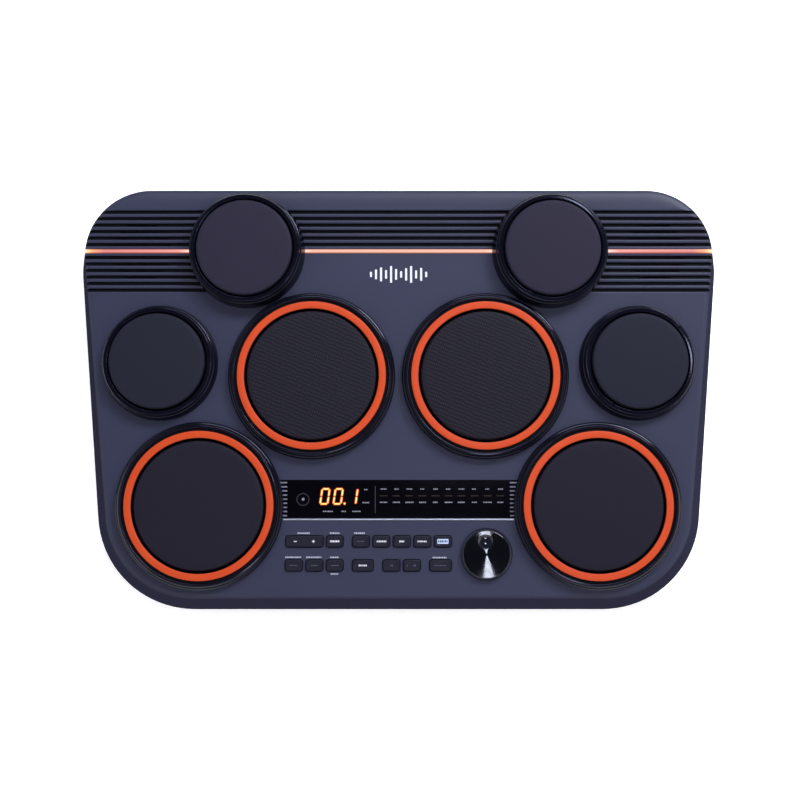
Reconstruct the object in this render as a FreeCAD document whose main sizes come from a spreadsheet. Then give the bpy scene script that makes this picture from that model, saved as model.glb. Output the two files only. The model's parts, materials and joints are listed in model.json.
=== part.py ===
import FreeCAD, Part
import math
import os
import re
import Sketcher

# Tabletop electronic drum pad set: a two-part plastic case with a sloping deck,
# eight sprung rubber pads, a key panel with a dial, a display and a battery bay.
# Row frame: +Z up, +X to the player's right, -Y towards the player, millimetres.
# The origin is on the table under the middle of the case.
# "Deck frame": x, v up the slope and h square to the deck's top surface.

VEC = FreeCAD.Vector
doc = FreeCAD.newDocument("drum_pad")

# ---------------------------------------------------------------- dimensions
DIMENSIONS = [
    # case
    ("parting_height", 32.0, "height of the seam between the case halves"),
    ("parting_depth", 196.0, "half depth of the case at the seam"),
    ("parting_front", 268.9, "half width at the front corner, before rounding"),
    ("parting_back", 307.5, "half width at the back corner, before rounding"),
    ("parting_front_round", 92.0, "front corner radius at the seam"),
    ("parting_back_round", 72.0, "back corner radius at the seam"),
    ("deck_height", 72.0, "height of the deck's middle above the table"),
    ("deck_tilt", 6.0, "slope of the deck, degrees, back edge higher"),
    ("deck_near", 188.0, "front edge of the deck, down the slope"),
    ("deck_far", 185.0, "back edge of the deck, up the slope"),
    ("deck_front", 257.7, "half width of the deck's front corner"),
    ("deck_back", 294.2, "half width of the deck's back corner"),
    ("deck_front_round", 80.0, "front corner radius of the deck"),
    ("deck_back_round", 60.0, "back corner radius of the deck"),
    ("deck_edge", 2.4, "width and depth of the softened deck edge"),
    ("wall", 2.8, "case wall thickness"),
    ("floor_height", 5.0, "underside of the case above the table"),
    ("floor_inset", 14.0, "how far the underside draws in from the seam"),
    ("screw_post", 4.6, "radius of a post that takes a case screw"),
    ("screw_hole", 1.8, "radius of a case screw's clearance hole"),
    ("screw_sink", 3.4, "radius of the sinking for a screw head"),
    ("floor_skin", 1.5, "depth the posts are rooted in the floor"),
    # pads
    ("centre_pad_x", 79.0, "centre pads, sideways"),
    ("centre_pad_v", 12.5, "centre pads, up the slope"),
    ("lower_pad_x", 180.0, "lower pads, sideways"),
    ("lower_pad_v", -105.5, "lower pads, up the slope"),
    ("cymbal_x", 140.3, "cymbal pads, sideways"),
    ("cymbal_v", 128.4, "cymbal pads, up the slope"),
    ("side_pad_x", 219.0, "side pads, sideways"),
    ("side_pad_v", 25.2, "side pads, up the slope"),
    ("large_rim", 76.0, "radius of a large pad's rim on the deck"),
    ("large_head", 58.6, "radius of a large rubber head"),
    ("large_cup", 63.2, "radius of the cup under a large rim"),
    ("large_top", 12.0, "top of a large head above the deck"),
    ("ring_inner", 61.1, "inner radius of the coloured ring"),
    ("ring_outer", 67.5, "outer radius of the coloured ring"),
    ("small_rim", 52.0, "radius of a small pad's cup on the deck"),
    ("small_head", 43.6, "radius of a small rubber head"),
    ("cymbal_top", 20.0, "top of a cymbal head above the deck"),
    ("side_top", 15.0, "top of a side head above the deck"),
    ("skin", 4.0, "thickness of a rubber head"),
    ("pad_travel", 1.5, "how far a struck pad sinks"),
    # ribbed band and light strip
    ("rib_pitch", 6.05, "spacing of the grooves"),
    ("rib_width", 2.3, "width of a groove"),
    ("rib_depth", 1.7, "depth of a groove"),
    ("rib_first", 134.2, "lowest of the six full-width grooves"),
    ("rib_second", 92.0, "lowest of the six outer grooves"),
    ("light_v", 128.2, "light strip, up the slope"),
    ("light_width", 3.6, "width of the light strip"),
    # panel
    ("lens_width", 218.4, "display window"),
    ("lens_depth", 34.2, "display window, along the slope"),
    ("lens_x", 0.0, "display window's middle, sideways"),
    ("lens_v", -99.2, "display window's middle, up the slope"),
    ("trim_v", -117.6, "metal trim line, up the slope"),
    ("trim_width", 209.0, "length of the metal trim line"),
    ("key_depth", 9.8, "key size along the slope"),
    ("key_gap", 0.4, "gap round each key"),
    ("key_proud", 2.2, "height of the keys above the deck"),
    ("row_one_v", -137.7, "upper row of keys"),
    ("row_two_v", -159.3, "lower row of keys"),
    ("dial_x", 79.3, "dial, sideways"),
    ("dial_v", -149.1, "dial, up the slope"),
    ("dial_radius", 21.8, "dial radius"),
    ("dial_top", 6.2, "top of the dial above the deck"),
    ("board_h", -13.0, "top of the key board below the deck"),
    # battery bay and back
    ("bay_width", 108.0, "battery bay, sideways"),
    ("bay_depth", 78.0, "battery bay, front to back"),
    ("bay_height", 29.5, "battery bay, upwards"),
    ("bay_y", 25.0, "battery bay's middle, front to back"),
    ("socket_height", 49.0, "height of the sockets above the table"),
    ("socket_neck", 5.5, "radius of a 6.35 mm socket's neck"),
    ("neck_hole", 5.6, "radius of the tray's hole round a neck"),
    ("button_radius", 5.1, "radius of the power button"),
    ("button_hole", 5.5, "radius of the tray's hole round the button"),
    ("socket_bore", 3.2, "radius of a 6.35 mm socket's bore"),
    ("plate_y", 183.0, "outer face of the socket plate"),
    ("main_board_drop", 9.6, "main board below the sockets' middle"),
]

dims = doc.addObject("Spreadsheet::Sheet", "Dims")
for row, (alias, number, note) in enumerate(DIMENSIONS, 1):
    dims.set(f"A{row}", note)
    dims.set(f"B{row}", str(number))
    dims.setAlias(f"B{row}", alias)
doc.recompute()
ALIASES = {alias for alias, number, note in DIMENSIONS}


# ------------------------------------------------------------------- helpers
def linked(expression):
    """The same expression with each dimension's name pointing at the sheet."""
    return re.sub(
        r"[a-z_]+",
        lambda word: "Dims." + word[0] if word[0] in ALIASES else word[0],
        str(expression),
    )


def value(expression):
    """What an expression is worth now, as a plain number."""
    result = dims.evalExpression(str(expression))
    return float(getattr(result, "Value", result))


def new_body(label, on_deck=False):
    """An empty body, in the row frame or laid on the sloping deck."""
    body = doc.addObject("PartDesign::Body", label)
    body.Label = label
    if on_deck:
        body.Placement = FreeCAD.Placement(
            VEC(0, 0, value("deck_height")),
            FreeCAD.Rotation(VEC(1, 0, 0), value("deck_tilt")),
        )
        body.setExpression("Placement.Base.z", "Dims.deck_height")
        body.setExpression("Placement.Rotation.Angle", "Dims.deck_tilt")
    return body


def origin_plane(body, role):
    """One of the body's own origin planes."""
    return next(o for o in body.Origin.OriginFeatures if o.Role == role)


def new_sketch(body, role="XY_Plane", offset=("0", "0", "0"), tilt=None):
    """A sketch on an origin plane, shifted in that plane's own axes."""
    sketch = body.newObject("Sketcher::SketchObject", "Sketch")
    sketch.AttachmentSupport = [(origin_plane(body, role), "")]
    sketch.MapMode = "FlatFace"
    turn = FreeCAD.Rotation(VEC(1, 0, 0), value(tilt) if tilt else 0)
    sketch.AttachmentOffset = FreeCAD.Placement(VEC(*map(value, offset)), turn)
    for axis, shift in zip("xyz", offset):
        if str(shift) != "0":
            sketch.setExpression(f"AttachmentOffset.Base.{axis}", linked(shift))
    if tilt:
        sketch.setExpression("AttachmentOffset.Rotation.Angle", linked(tilt))
    return sketch


def pin_point(sketch, geometry, end, corner):
    """Hold a sketch point at a pair of expressions."""
    for kind, term in zip(("DistanceX", "DistanceY"), corner):
        rule = Sketcher.Constraint(kind, -1, 1, geometry, end, value(term))
        number = sketch.addConstraint(rule)
        if re.search("[a-z]", str(term)):
            sketch.setExpression(f"Constraints[{number}]", linked(term))


def polygon(sketch, corners, rounds=None):
    """A closed outline; rounds gives some corners a radius expression."""
    points = [VEC(value(a), value(b), 0) for a, b in corners]
    count = len(points)
    first = sketch.GeometryCount
    for i in range(count):
        sketch.addGeometry(Part.LineSegment(points[i], points[(i + 1) % count]), False)
    for i in range(count):
        sketch.addConstraint(
            Sketcher.Constraint("Coincident", first + i, 2, first + (i + 1) % count, 1)
        )
    for i in range(count):
        pin_point(sketch, first + i, 1, corners[i])
    for i, radius in (rounds or {}).items():
        round_corner(sketch, first, points, i, radius)


def round_corner(sketch, first, points, i, radius):
    """Round one corner of an outline and tie the radius to the sheet."""
    count = len(points)
    size = value(radius)
    before, after = points[i - 1], points[(i + 1) % count]
    near_before = points[i] + (before - points[i]).normalize() * size * 0.8
    near_after = points[i] + (after - points[i]).normalize() * size * 0.8
    start = sketch.GeometryCount
    sketch.fillet(first + (i - 1) % count, first + i, near_before, near_after, size, 1, True)
    for g in range(start, sketch.GeometryCount):
        if isinstance(sketch.Geometry[g], Part.ArcOfCircle):
            number = sketch.addConstraint(Sketcher.Constraint("Radius", g, size))
            if re.search("[a-z]", str(radius)):
                sketch.setExpression(f"Constraints[{number}]", linked(radius))


def box_outline(sketch, middle, size, radius=None):
    """A rectangle about a middle point, with round corners if asked."""
    (x, y), (w, d) = middle, size
    corners = [
        (f"({x}) - ({w}) / 2", f"({y}) - ({d}) / 2"),
        (f"({x}) + ({w}) / 2", f"({y}) - ({d}) / 2"),
        (f"({x}) + ({w}) / 2", f"({y}) + ({d}) / 2"),
        (f"({x}) - ({w}) / 2", f"({y}) + ({d}) / 2"),
    ]
    polygon(sketch, corners, {i: radius for i in range(4)} if radius else None)


def circle(sketch, centre, radius):
    """A circle held at its centre and radius."""
    middle = VEC(value(centre[0]), value(centre[1]), 0)
    g = sketch.addGeometry(Part.Circle(middle, VEC(0, 0, 1), value(radius)), False)
    pin_point(sketch, g, 3, centre)
    number = sketch.addConstraint(Sketcher.Constraint("Radius", g, value(radius)))
    if re.search("[a-z]", str(radius)):
        sketch.setExpression(f"Constraints[{number}]", linked(radius))


def settle(*items):
    """Work out new objects in order, without touching the rest of the document."""
    for item in items:
        item.recompute()


def pad(body, sketch, length, down=False, both=False):
    """Raise a sketch into a solid; down sends it against the sketch's normal."""
    feature = body.newObject("PartDesign::Pad", "Pad")
    feature.Profile = sketch
    feature.Length = value(length)
    if re.search("[a-z]", str(length)):
        feature.setExpression("Length", linked(length))
    feature.Reversed = down
    feature.Midplane = both
    settle(sketch, feature)
    return feature


def pocket(body, sketch, length, up=False, both=False):
    """Cut a sketch into the body and make sure that it took material away."""
    before = body.Tip.Shape.Volume
    feature = body.newObject("PartDesign::Pocket", "Pocket")
    feature.Profile = sketch
    feature.Length = value(length)
    if re.search("[a-z]", str(length)):
        feature.setExpression("Length", linked(length))
    feature.Reversed = up
    feature.Midplane = both
    settle(sketch, feature)
    assert feature.Shape.Volume < before - 1e-3, f"{body.Label}: a pocket cut nothing"
    return feature


def turned(body, profile, at=("0", "0", "0"), rounds=None, kind="Revolution"):
    """Revolve a profile of (radius, height) corners about an upright axis."""
    x, y, z = at
    sketch = new_sketch(body, "XZ_Plane", (x, z, f"-({y})" if str(y) != "0" else "0"))
    polygon(sketch, profile, rounds)
    feature = body.newObject(f"PartDesign::{kind}", kind)
    feature.Profile = sketch
    feature.ReferenceAxis = (sketch, ["V_Axis"])
    feature.Angle = 360
    settle(sketch, feature)
    return feature


def mirror_sideways(body, features):
    """Repeat features on the other side of the case."""
    feature = body.newObject("PartDesign::Mirrored", "Mirrored")
    feature.Originals = features
    feature.MirrorPlane = (origin_plane(body, "YZ_Plane"), [""])
    body.Tip = feature
    settle(feature)
    return feature


def repeat_up_slope(body, feature, sketch, pitch, count):
    """Repeat a cut up the slope at an even pitch."""
    pattern = body.newObject("PartDesign::LinearPattern", "LinearPattern")
    pattern.Originals = [feature]
    pattern.Direction = (sketch, ["V_Axis"])
    pattern.Mode = "Extent"
    pattern.Occurrences = count
    pattern.Length = value(pitch) * (count - 1)
    pattern.setExpression("Length", linked(f"({pitch}) * {count - 1}"))
    body.Tip = pattern
    settle(pattern)
    return pattern


# ----------------------------------------------------------------- the case
def seam_outline(body, inset, height):
    """Case outline at a level height, drawn in from the seam by an inset."""
    sketch = new_sketch(body, "XY_Plane", ("0", "0", height))
    front, back = f"parting_front - 0.91 * ({inset})", f"parting_back - 1.1 * ({inset})"
    near, far = f"-parting_depth + ({inset})", f"parting_depth - ({inset})"
    corners = [(f"-({front})", near), (front, near), (back, far), (f"-({back})", far)]
    front_round = f"parting_front_round - ({inset})"
    back_round = f"parting_back_round - ({inset})"
    polygon(sketch, corners, {0: front_round, 1: front_round, 2: back_round, 3: back_round})
    return sketch


def deck_outline(body, inset, depth):
    """Case outline on the sloping deck, or a depth below it."""
    offset = ("0", f"({depth}) * sin(deck_tilt * 1deg)",
              f"deck_height - ({depth}) * cos(deck_tilt * 1deg)")
    sketch = new_sketch(body, "XY_Plane", offset, "deck_tilt")
    front, back = f"deck_front - 0.91 * ({inset})", f"deck_back - 1.1 * ({inset})"
    near, far = f"-deck_near + ({inset})", f"deck_far - ({inset})"
    corners = [(f"-({front})", near), (front, near), (back, far), (f"-({back})", far)]
    front_round = f"deck_front_round - ({inset})"
    back_round = f"deck_back_round - ({inset})"
    polygon(sketch, corners, {0: front_round, 1: front_round, 2: back_round, 3: back_round})
    return sketch


def loft(body, lower, upper, kind="AdditiveLoft"):
    """Join two case outlines with straight walls."""
    before = body.Tip.Shape.Volume if kind == "SubtractiveLoft" else None
    feature = body.newObject(f"PartDesign::{kind}", kind)
    feature.Profile = (lower, [""])
    feature.Sections = [(upper, [""])]
    feature.Ruled = True
    settle(lower, upper, feature)
    if before is not None:
        assert feature.Shape.Volume < before - 1e-3, f"{body.Label}: a loft cut nothing"
    return feature


DECK_SKETCH = ("0", "0", "deck_height")
INSIDE_DECK = ("0", "1.5 * sin(deck_tilt * 1deg)", "deck_height - 1.5 * cos(deck_tilt * 1deg)")

# Keys, left to right: name, middle and width along the deck.
UPPER_KEYS = [
    ("volume_key", -85.0, 33.6),
    ("tempo_key", -57.7, 15.0),
    ("kit_key", -34.1, 15.1),
    ("song_key", -15.6, 15.1),
    ("voice_key", 2.9, 15.3),
    ("click_key", 21.4, 15.2),
    ("record_key", 40.0, 15.6),
]
LOWER_KEYS = [
    ("menu_key", -94.5, 15.3),
    ("effect_key", -76.0, 15.2),
    ("bank_key", -57.6, 15.0),
    ("start_key", -32.3, 18.6),
    ("mute_key", -6.4, 15.2),
    ("solo_key", 12.0, 15.2),
    ("sampler_key", 37.8, 19.5),
]
KEYS = [(n, x, w, "row_one_v") for n, x, w in UPPER_KEYS]
KEYS += [(n, x, w, "row_two_v") for n, x, w in LOWER_KEYS]

# Pads: name, middle, and whether the pad is a large or a small one.
LARGE_PADS = [("centre", "centre_pad_x", "centre_pad_v"), ("lower", "lower_pad_x", "lower_pad_v")]
SMALL_PADS = [
    ("cymbal", "cymbal_x", "cymbal_v", "cymbal_top"),
    ("side", "side_pad_x", "side_pad_v", "side_top"),
]

CASE_POSTS = [(128.0, -176.0), (254.0, -100.0), (270.0, 75.0), (200.0, 172.0)]
BOARD_POSTS = [(-109.0, -122.5), (109.0, -122.5), (-109.0, -172.0), (109.0, -172.0)]
SPEAKER = ("236.0", "128.2")
SPEAKER_RADIUS = 33.0
SPEAKER_H = -11.0
CUP_CLEARANCE = 0.5


def light_cut(body, inner, outer):
    """Through slot for one stretch of the light strip."""
    sketch = new_sketch(body, "XY_Plane", DECK_SKETCH, "deck_tilt")
    box_outline(sketch, (f"({inner} + {outer}) / 2", "light_v"),
                (f"{outer} - ({inner})", "light_width + 0.3"))
    return pocket(body, sketch, "6.4")


def make_top_case():
    """Upper shell: sloping deck with wells, grooves, key holes and wall window."""
    body = new_body("top_case")
    shoulder = "deck_edge * 0.8"
    loft(body, seam_outline(body, "0", "parting_height"), deck_outline(body, "-0.3", shoulder))
    loft(body, deck_outline(body, "-0.3", shoulder), deck_outline(body, "deck_edge", "0"))
    loft(body, seam_outline(body, "wall", "parting_height"),
         deck_outline(body, "wall", "wall + 0.2"), "SubtractiveLoft")

    # Collars that hold the speakers under the deck.
    collars = new_sketch(body, "XY_Plane", INSIDE_DECK, "deck_tilt")
    for side in (-1, 1):
        circle(collars, (f"{side} * {SPEAKER[0]}", SPEAKER[1]), f"{SPEAKER_RADIUS + 2.6}")
        circle(collars, (f"{side} * {SPEAKER[0]}", SPEAKER[1]), f"{SPEAKER_RADIUS}")
    pad(body, collars, f"{-SPEAKER_H - 1.5}", down=True)

    # Screw posts that meet those of the bottom case, and posts for the key board.
    for x, y in CASE_POSTS:
        posts = new_sketch(body, "XY_Plane", ("0", "0", "parting_height + 0.3"))
        for side in (-1, 1):
            circle(posts, (f"{side * x}", f"{y}"), "4.2")
        reach = f"deck_height + {y} * tan(deck_tilt * 1deg) - parting_height - 2.2"
        pad(body, posts, reach)
        holes = new_sketch(body, "XY_Plane", ("0", "0", "parting_height"))
        for side in (-1, 1):
            circle(holes, (f"{side * x}", f"{y}"), "1.55")
        pocket(body, holes, "12", up=True)
    posts = new_sketch(body, "XY_Plane", INSIDE_DECK, "deck_tilt")
    for x, v in BOARD_POSTS:
        circle(posts, (f"{x}", f"{v}"), "3")
    pad(body, posts, "-board_h - 1.5", down=True)

    # Round wells under the pads.
    wells = new_sketch(body, "XY_Plane", DECK_SKETCH, "deck_tilt")
    for side in (-1, 1):
        for name, x, v in LARGE_PADS:
            circle(wells, (f"{side} * {x}", v), f"large_cup + {CUP_CLEARANCE}")
        for name, x, v, top in SMALL_PADS:
            circle(wells, (f"{side} * {x}", v), "small_rim - 14")
    pocket(body, wells, "8")

    # Ribbed band: six grooves right across, six more outside the cymbal pads.
    upper = new_sketch(body, "XY_Plane", DECK_SKETCH, "deck_tilt")
    box_outline(upper, ("0", "rib_first"), ("640", "rib_width"))
    cut = pocket(body, upper, "rib_depth")
    repeat_up_slope(body, cut, upper, "rib_pitch", 6)
    lower = new_sketch(body, "XY_Plane", DECK_SKETCH, "deck_tilt")
    for side in (-1, 1):
        box_outline(lower, (f"{side} * 231", "rib_second"), ("178", "rib_width"))
    cut = pocket(body, lower, "rib_depth")
    repeat_up_slope(body, cut, lower, "rib_pitch", 6)
    for inner, outer in (("-90", "90"), ("190.5", "320"), ("-320", "-190.5")):
        light_cut(body, inner, outer)

    # Sound slots in the grooves over each speaker.
    slots = new_sketch(body, "XY_Plane", DECK_SKETCH, "deck_tilt")
    for first in ("rib_first", "rib_second"):
        for step in range(6):
            v = f"{first} + {step} * rib_pitch"
            reach = 28.0 ** 2 - (value(v) - value(SPEAKER[1])) ** 2
            if reach > 100:
                for side in (-1, 1):
                    box_outline(slots, (f"{side} * {SPEAKER[0]}", v),
                                (f"{2 * math.sqrt(reach):.2f}", "1.3"))
    pocket(body, slots, "wall + 1.5")

    # Display window with a ledge, trim channel, key holes, dial seat.
    ledge = new_sketch(body, "XY_Plane", DECK_SKETCH, "deck_tilt")
    box_outline(ledge, ("lens_x", "lens_v"), ("lens_width + 0.3", "lens_depth + 0.3"), "3")
    pocket(body, ledge, "2.0")
    window = new_sketch(body, "XY_Plane", DECK_SKETCH, "deck_tilt")
    box_outline(window, ("lens_x", "lens_v"), ("lens_width - 6", "lens_depth - 6"), "2")
    circle(window, ("dial_x", "dial_v"), "4.2")
    pocket(body, window, "wall + 1.5")
    for name, x, width, v in KEYS:
        hole = new_sketch(body, "XY_Plane", DECK_SKETCH, "deck_tilt")
        box_outline(hole, (f"{x}", v), (f"{width} + 2 * key_gap", "key_depth + 2 * key_gap"), "2.4")
        pocket(body, hole, "wall + 1.5")
    seat = new_sketch(body, "XY_Plane", DECK_SKETCH, "deck_tilt")
    circle(seat, ("dial_x", "dial_v"), "dial_radius + 1.5")
    box_outline(seat, ("lens_x", "trim_v"), ("trim_width + 0.4", "1.9"))
    pocket(body, seat, "1.2")

    # Window in the back wall for the socket tray.
    window = new_sketch(body, "XZ_Plane", ("0", "0", "-200"))
    box_outline(window, ("0", "socket_height"), ("236", "22"), "2")
    pocket(body, window, "24", up=True)


def make_bottom_case():
    """Lower shell: tapering tray with screw posts and the battery opening."""
    body = new_body("bottom_case")
    loft(body, seam_outline(body, "floor_inset", "floor_height"),
         seam_outline(body, "0.6", "parting_height"))
    loft(body, seam_outline(body, "floor_inset + wall", "floor_height + wall"),
         seam_outline(body, "wall + 0.6", "parting_height"), "SubtractiveLoft")
    posts = new_sketch(body, "XY_Plane", ("0", "0", "floor_height + floor_skin"))
    for x, y in CASE_POSTS:
        for side in (-1, 1):
            circle(posts, (f"{side * x}", f"{y}"), "screw_post")
    pad(body, posts, "parting_height - floor_height - floor_skin")
    # Pillars under the corners of the main board.
    pillars = new_sketch(body, "XY_Plane", ("0", "0", "floor_height + floor_skin"))
    for x in (-100, 100):
        for y in (128, 172):
            circle(pillars, (f"{x}", f"{y}"), "3")
    pad(body, pillars, "socket_height - main_board_drop - floor_height - floor_skin")
    holes = new_sketch(body, "XY_Plane", ("0", "0", "floor_height"))
    sinks = new_sketch(body, "XY_Plane", ("0", "0", "floor_height"))
    for x, y in CASE_POSTS:
        for side in (-1, 1):
            circle(holes, (f"{side * x}", f"{y}"), "screw_hole")
            circle(sinks, (f"{side * x}", f"{y}"), "screw_sink")
    pocket(body, holes, "40", up=True)
    pocket(body, sinks, "7", up=True)
    opening = new_sketch(body, "XY_Plane", ("0", "0", "floor_height"))
    box_outline(opening, ("0", "bay_y"), ("bay_width + 4", "bay_depth + 4"), "3")
    pocket(body, opening, "wall + 1", up=True)


def make_feet():
    """Four round rubber feet glued under the case."""
    body = new_body("rubber_feet")
    sketch = new_sketch(body)
    for x, y in ((190, -140), (235, 140)):
        for side in (-1, 1):
            circle(sketch, (f"{side * x}", f"{y}"), "11")
    pad(body, sketch, "floor_height")


def make_case_screws():
    """Eight self-tapping screws, driven up from underneath."""
    body = new_body("case_screws")
    heads = new_sketch(body, "XY_Plane", ("0", "0", "floor_height + 4.6"))
    shanks = new_sketch(body, "XY_Plane", ("0", "0", "floor_height + 6.9"))
    for x, y in CASE_POSTS:
        for side in (-1, 1):
            circle(heads, (f"{side * x}", f"{y}"), "3")
            circle(shanks, (f"{side * x}", f"{y}"), "1.5")
    pad(body, heads, "2.4")
    pad(body, shanks, "parting_height - floor_height + 3")


def make_battery_bay():
    """Battery box, its contact springs and the door that lifts off."""
    box = new_body("battery_box")
    sketch = new_sketch(box, "XY_Plane", ("0", "0", "floor_height + wall"))
    box_outline(sketch, ("0", "bay_y"), ("bay_width + 8", "bay_depth + 8"))
    pad(box, sketch, "bay_height + 2")
    hollow = new_sketch(box, "XY_Plane", ("0", "0", "floor_height + wall"))
    box_outline(hollow, ("0", "bay_y"), ("bay_width", "bay_depth"), "2")
    pocket(box, hollow, "bay_height", up=True)

    contacts = new_body("battery_contacts")
    strips = new_sketch(contacts, "XY_Plane", ("0", "0", "floor_height + wall + 6"))
    for side in (-1, 1):
        for row in (-1, 0, 1):
            box_outline(strips, (f"{side} * (bay_width / 2 - 0.4)", f"bay_y + {row * 26}"),
                        ("0.6", "12"))
    pad(contacts, strips, "16")

    door = new_body("battery_door")
    sketch = new_sketch(door, "XY_Plane", ("0", "0", "floor_height"))
    box_outline(sketch, ("0", "bay_y"), ("bay_width + 3.2", "bay_depth + 3.2"), "2.6")
    pad(door, sketch, "wall - 0.4")
    # A finger scoop across the front edge of the door.
    scoop = new_sketch(door, "XY_Plane", ("0", "0", "floor_height"))
    box_outline(scoop, ("0", "bay_y - bay_depth / 2 + 6"), ("26", "6"), "2.5")
    pocket(door, scoop, "1.2", up=True)


# ----------------------------------------------------------------- the pads
def large_rim_profile():
    """Section of a large rim: stepped bezel with a cup and a shelf below."""
    return [
        ("large_rim", "0"), ("large_rim", "4.2"), ("large_rim - 0.7", "6.8"),
        ("large_rim - 2.0", "7.8"), ("large_rim - 2.9", "8.0"), ("large_rim - 3.4", "9.6"),
        ("large_rim - 4.4", "10.4"), ("large_rim - 5.8", "10.4"),
        ("ring_outer + 2.2", "9.8"), ("ring_outer + 1.9", "8.4"), ("large_head + 2.0", "8.4"),
        ("large_head + 2.0", "-4"), ("42", "-4"), ("42", "-6"), ("large_cup", "-6"),
        ("large_cup", "0"),
    ]


def small_rim_profile(top):
    """Section of a small pad's cup: plain wall, rounded lip, inner shelf."""
    return [
        ("small_rim", "0"), ("small_rim - 0.9", f"{top} - 6"),
        ("small_rim - 1.6", f"{top} - 3.6"), ("small_rim - 2.8", f"{top} - 2.5"),
        ("small_rim - 4.8", f"{top} - 2.5"), ("small_rim - 5.9", f"{top} - 3.4"),
        ("small_head + 1.8", f"{top} - 6.5"), ("small_head + 1.8", f"{top} - 12.5"),
        ("30", f"{top} - 12.5"), ("30", f"{top} - 14.5"),
        ("small_rim - 2.5", f"{top} - 14.5"), ("small_rim - 2.5", "0"),
    ]


def make_rims():
    """Bezels in left and right pairs, and the flat rings on the large ones."""
    for name, x, v in LARGE_PADS:
        rims = new_body(f"{name}_rims", on_deck=True)
        mirror_sideways(rims, [turned(rims, large_rim_profile(), (x, v, "0"))])
    for name, x, v, top in SMALL_PADS:
        rims = new_body(f"{name}_rims", on_deck=True)
        mirror_sideways(rims, [turned(rims, small_rim_profile(top), (x, v, "0"))])
    rings = new_body("pad_rings", on_deck=True)
    profile = [
        ("ring_inner", "8.4"), ("ring_outer", "8.4"), ("ring_outer", "10.0"),
        ("ring_outer - 0.5", "10.6"), ("ring_inner + 0.5", "10.6"), ("ring_inner", "10.0"),
    ]
    mirror_sideways(rings, [turned(rings, profile, (x, v, "0")) for name, x, v in LARGE_PADS])


def head_profile(radius, top, skirt):
    """Section of a rubber head: a shallow crowned cap with a skirt."""
    return [
        ("0", top), (f"{radius} * 0.8", f"{top} - 0.35"), (f"{radius} - 2.2", f"{top} - 1.0"),
        (f"{radius} - 0.6", f"{top} - 1.9"), (radius, f"{top} - 3.2"),
        (radius, f"{top} - {skirt}"), (f"{radius} - 3", f"{top} - {skirt}"),
        (f"{radius} - 3", f"{top} - skin"), ("0", f"{top} - skin"),
    ]


def plate_profile(radius, top):
    """Section of the stiff plate bonded under a head, with its sensor disc."""
    under = f"{top} - skin"
    return [
        ("0", under), (f"{radius} - 3.1", under), (f"{radius} - 3.1", f"{under} - 2"),
        ("13.5", f"{under} - 2"), ("13.5", f"{under} - 2.7"), ("0", f"{under} - 2.7"),
    ]


def make_pad(name, side, radius, top, skirt, x, v):
    """One striking pad: the rubber head and the sensing plate bonded under it."""
    label = f"{name}_{'left' if side < 0 else 'right'}"
    at = (f"{side} * {x}", v, "0")
    head = new_body(f"{label}_head", on_deck=True)
    turned(head, head_profile(radius, top, skirt), at)
    plate = new_body(f"{label}_plate", on_deck=True)
    turned(plate, plate_profile(radius, top), at)


def make_pads():
    """Eight pads and the foam rings that carry them."""
    foam = new_body("pad_isolators", on_deck=True)
    rings = []
    for name, x, v in LARGE_PADS:
        for side in (-1, 1):
            make_pad(name, side, "large_head", "large_top", "11", x, v)
        top = "large_top - skin - 2 - pad_travel - 0.4"
        profile = [("44", "-4"), ("large_head - 4.2", "-4"), ("large_head - 4.2", top), ("44", top)]
        rings.append(turned(foam, profile, (x, v, "0")))
    for name, x, v, height in SMALL_PADS:
        for side in (-1, 1):
            make_pad(name, side, "small_head", height, "8", x, v)
        base = f"{height} - 12.5"
        top = f"{height} - skin - 2 - pad_travel - 0.4"
        profile = [("32", base), ("small_head - 4", base), ("small_head - 4", top), ("32", top)]
        rings.append(turned(foam, profile, (x, v, "0")))
    mirror_sideways(foam, rings)


# ------------------------------------------------------- panel, lights, keys
def make_light_strip():
    """Three stretches of clear light guide and the lamps that feed them."""
    guides = new_body("light_guides", on_deck=True)
    half = "(deck_back - (deck_far - light_v) * 0.098)"
    sketch = new_sketch(guides, "XZ_Plane", ("0", "0", "-light_v"))
    box_outline(sketch, ("0", "-3.03"), ("179", "5.94"))
    for side in (-1, 1):
        end = [
            (f"{side} * 191.5", "-6"), (f"{side} * ({half} + 0.1)", "-6"),
            (f"{side} * ({half} - 1.0)", "-1.6"), (f"{side} * ({half} - 3.0)", "-0.06"),
            (f"{side} * 191.5", "-0.06"),
        ]
        polygon(sketch, end if side > 0 else end[::-1])
    pad(guides, sketch, "light_width", both=True)
    boards = new_body("light_boards", on_deck=True)
    sketch = new_sketch(boards, "XY_Plane", ("0", "0", "-6.1"))
    box_outline(sketch, ("0", "light_v"), ("170", "8"))
    for side in (-1, 1):
        box_outline(sketch, (f"{side} * 278.5", "light_v"), ("10", "8"))
    pad(boards, sketch, "1.2", down=True)


def make_display():
    """Dark window, the metal line below it and the lamps behind it."""
    lens = new_body("display_lens", on_deck=True)
    sketch = new_sketch(lens, "XY_Plane", ("0", "0", "-2.0"))
    box_outline(sketch, ("lens_x", "lens_v"), ("lens_width", "lens_depth"), "2.8")
    pad(lens, sketch, "1.95")
    trim = new_body("panel_trim", on_deck=True)
    sketch = new_sketch(trim, "XY_Plane", ("0", "0", "-1.2"))
    box_outline(sketch, ("lens_x", "trim_v"), ("trim_width", "1.6"))
    pad(trim, sketch, "1.8")
    lamps = new_body("display_module", on_deck=True)
    sketch = new_sketch(lamps, "XY_Plane", ("0", "0", "board_h"))
    box_outline(sketch, ("-54", "-97"), ("44", "20"))
    box_outline(sketch, ("38", "-97"), ("114", "18"))
    box_outline(sketch, ("-86.6", "-99.5"), ("13", "13"))
    pad(lamps, sketch, "-board_h - 3.4")


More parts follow.
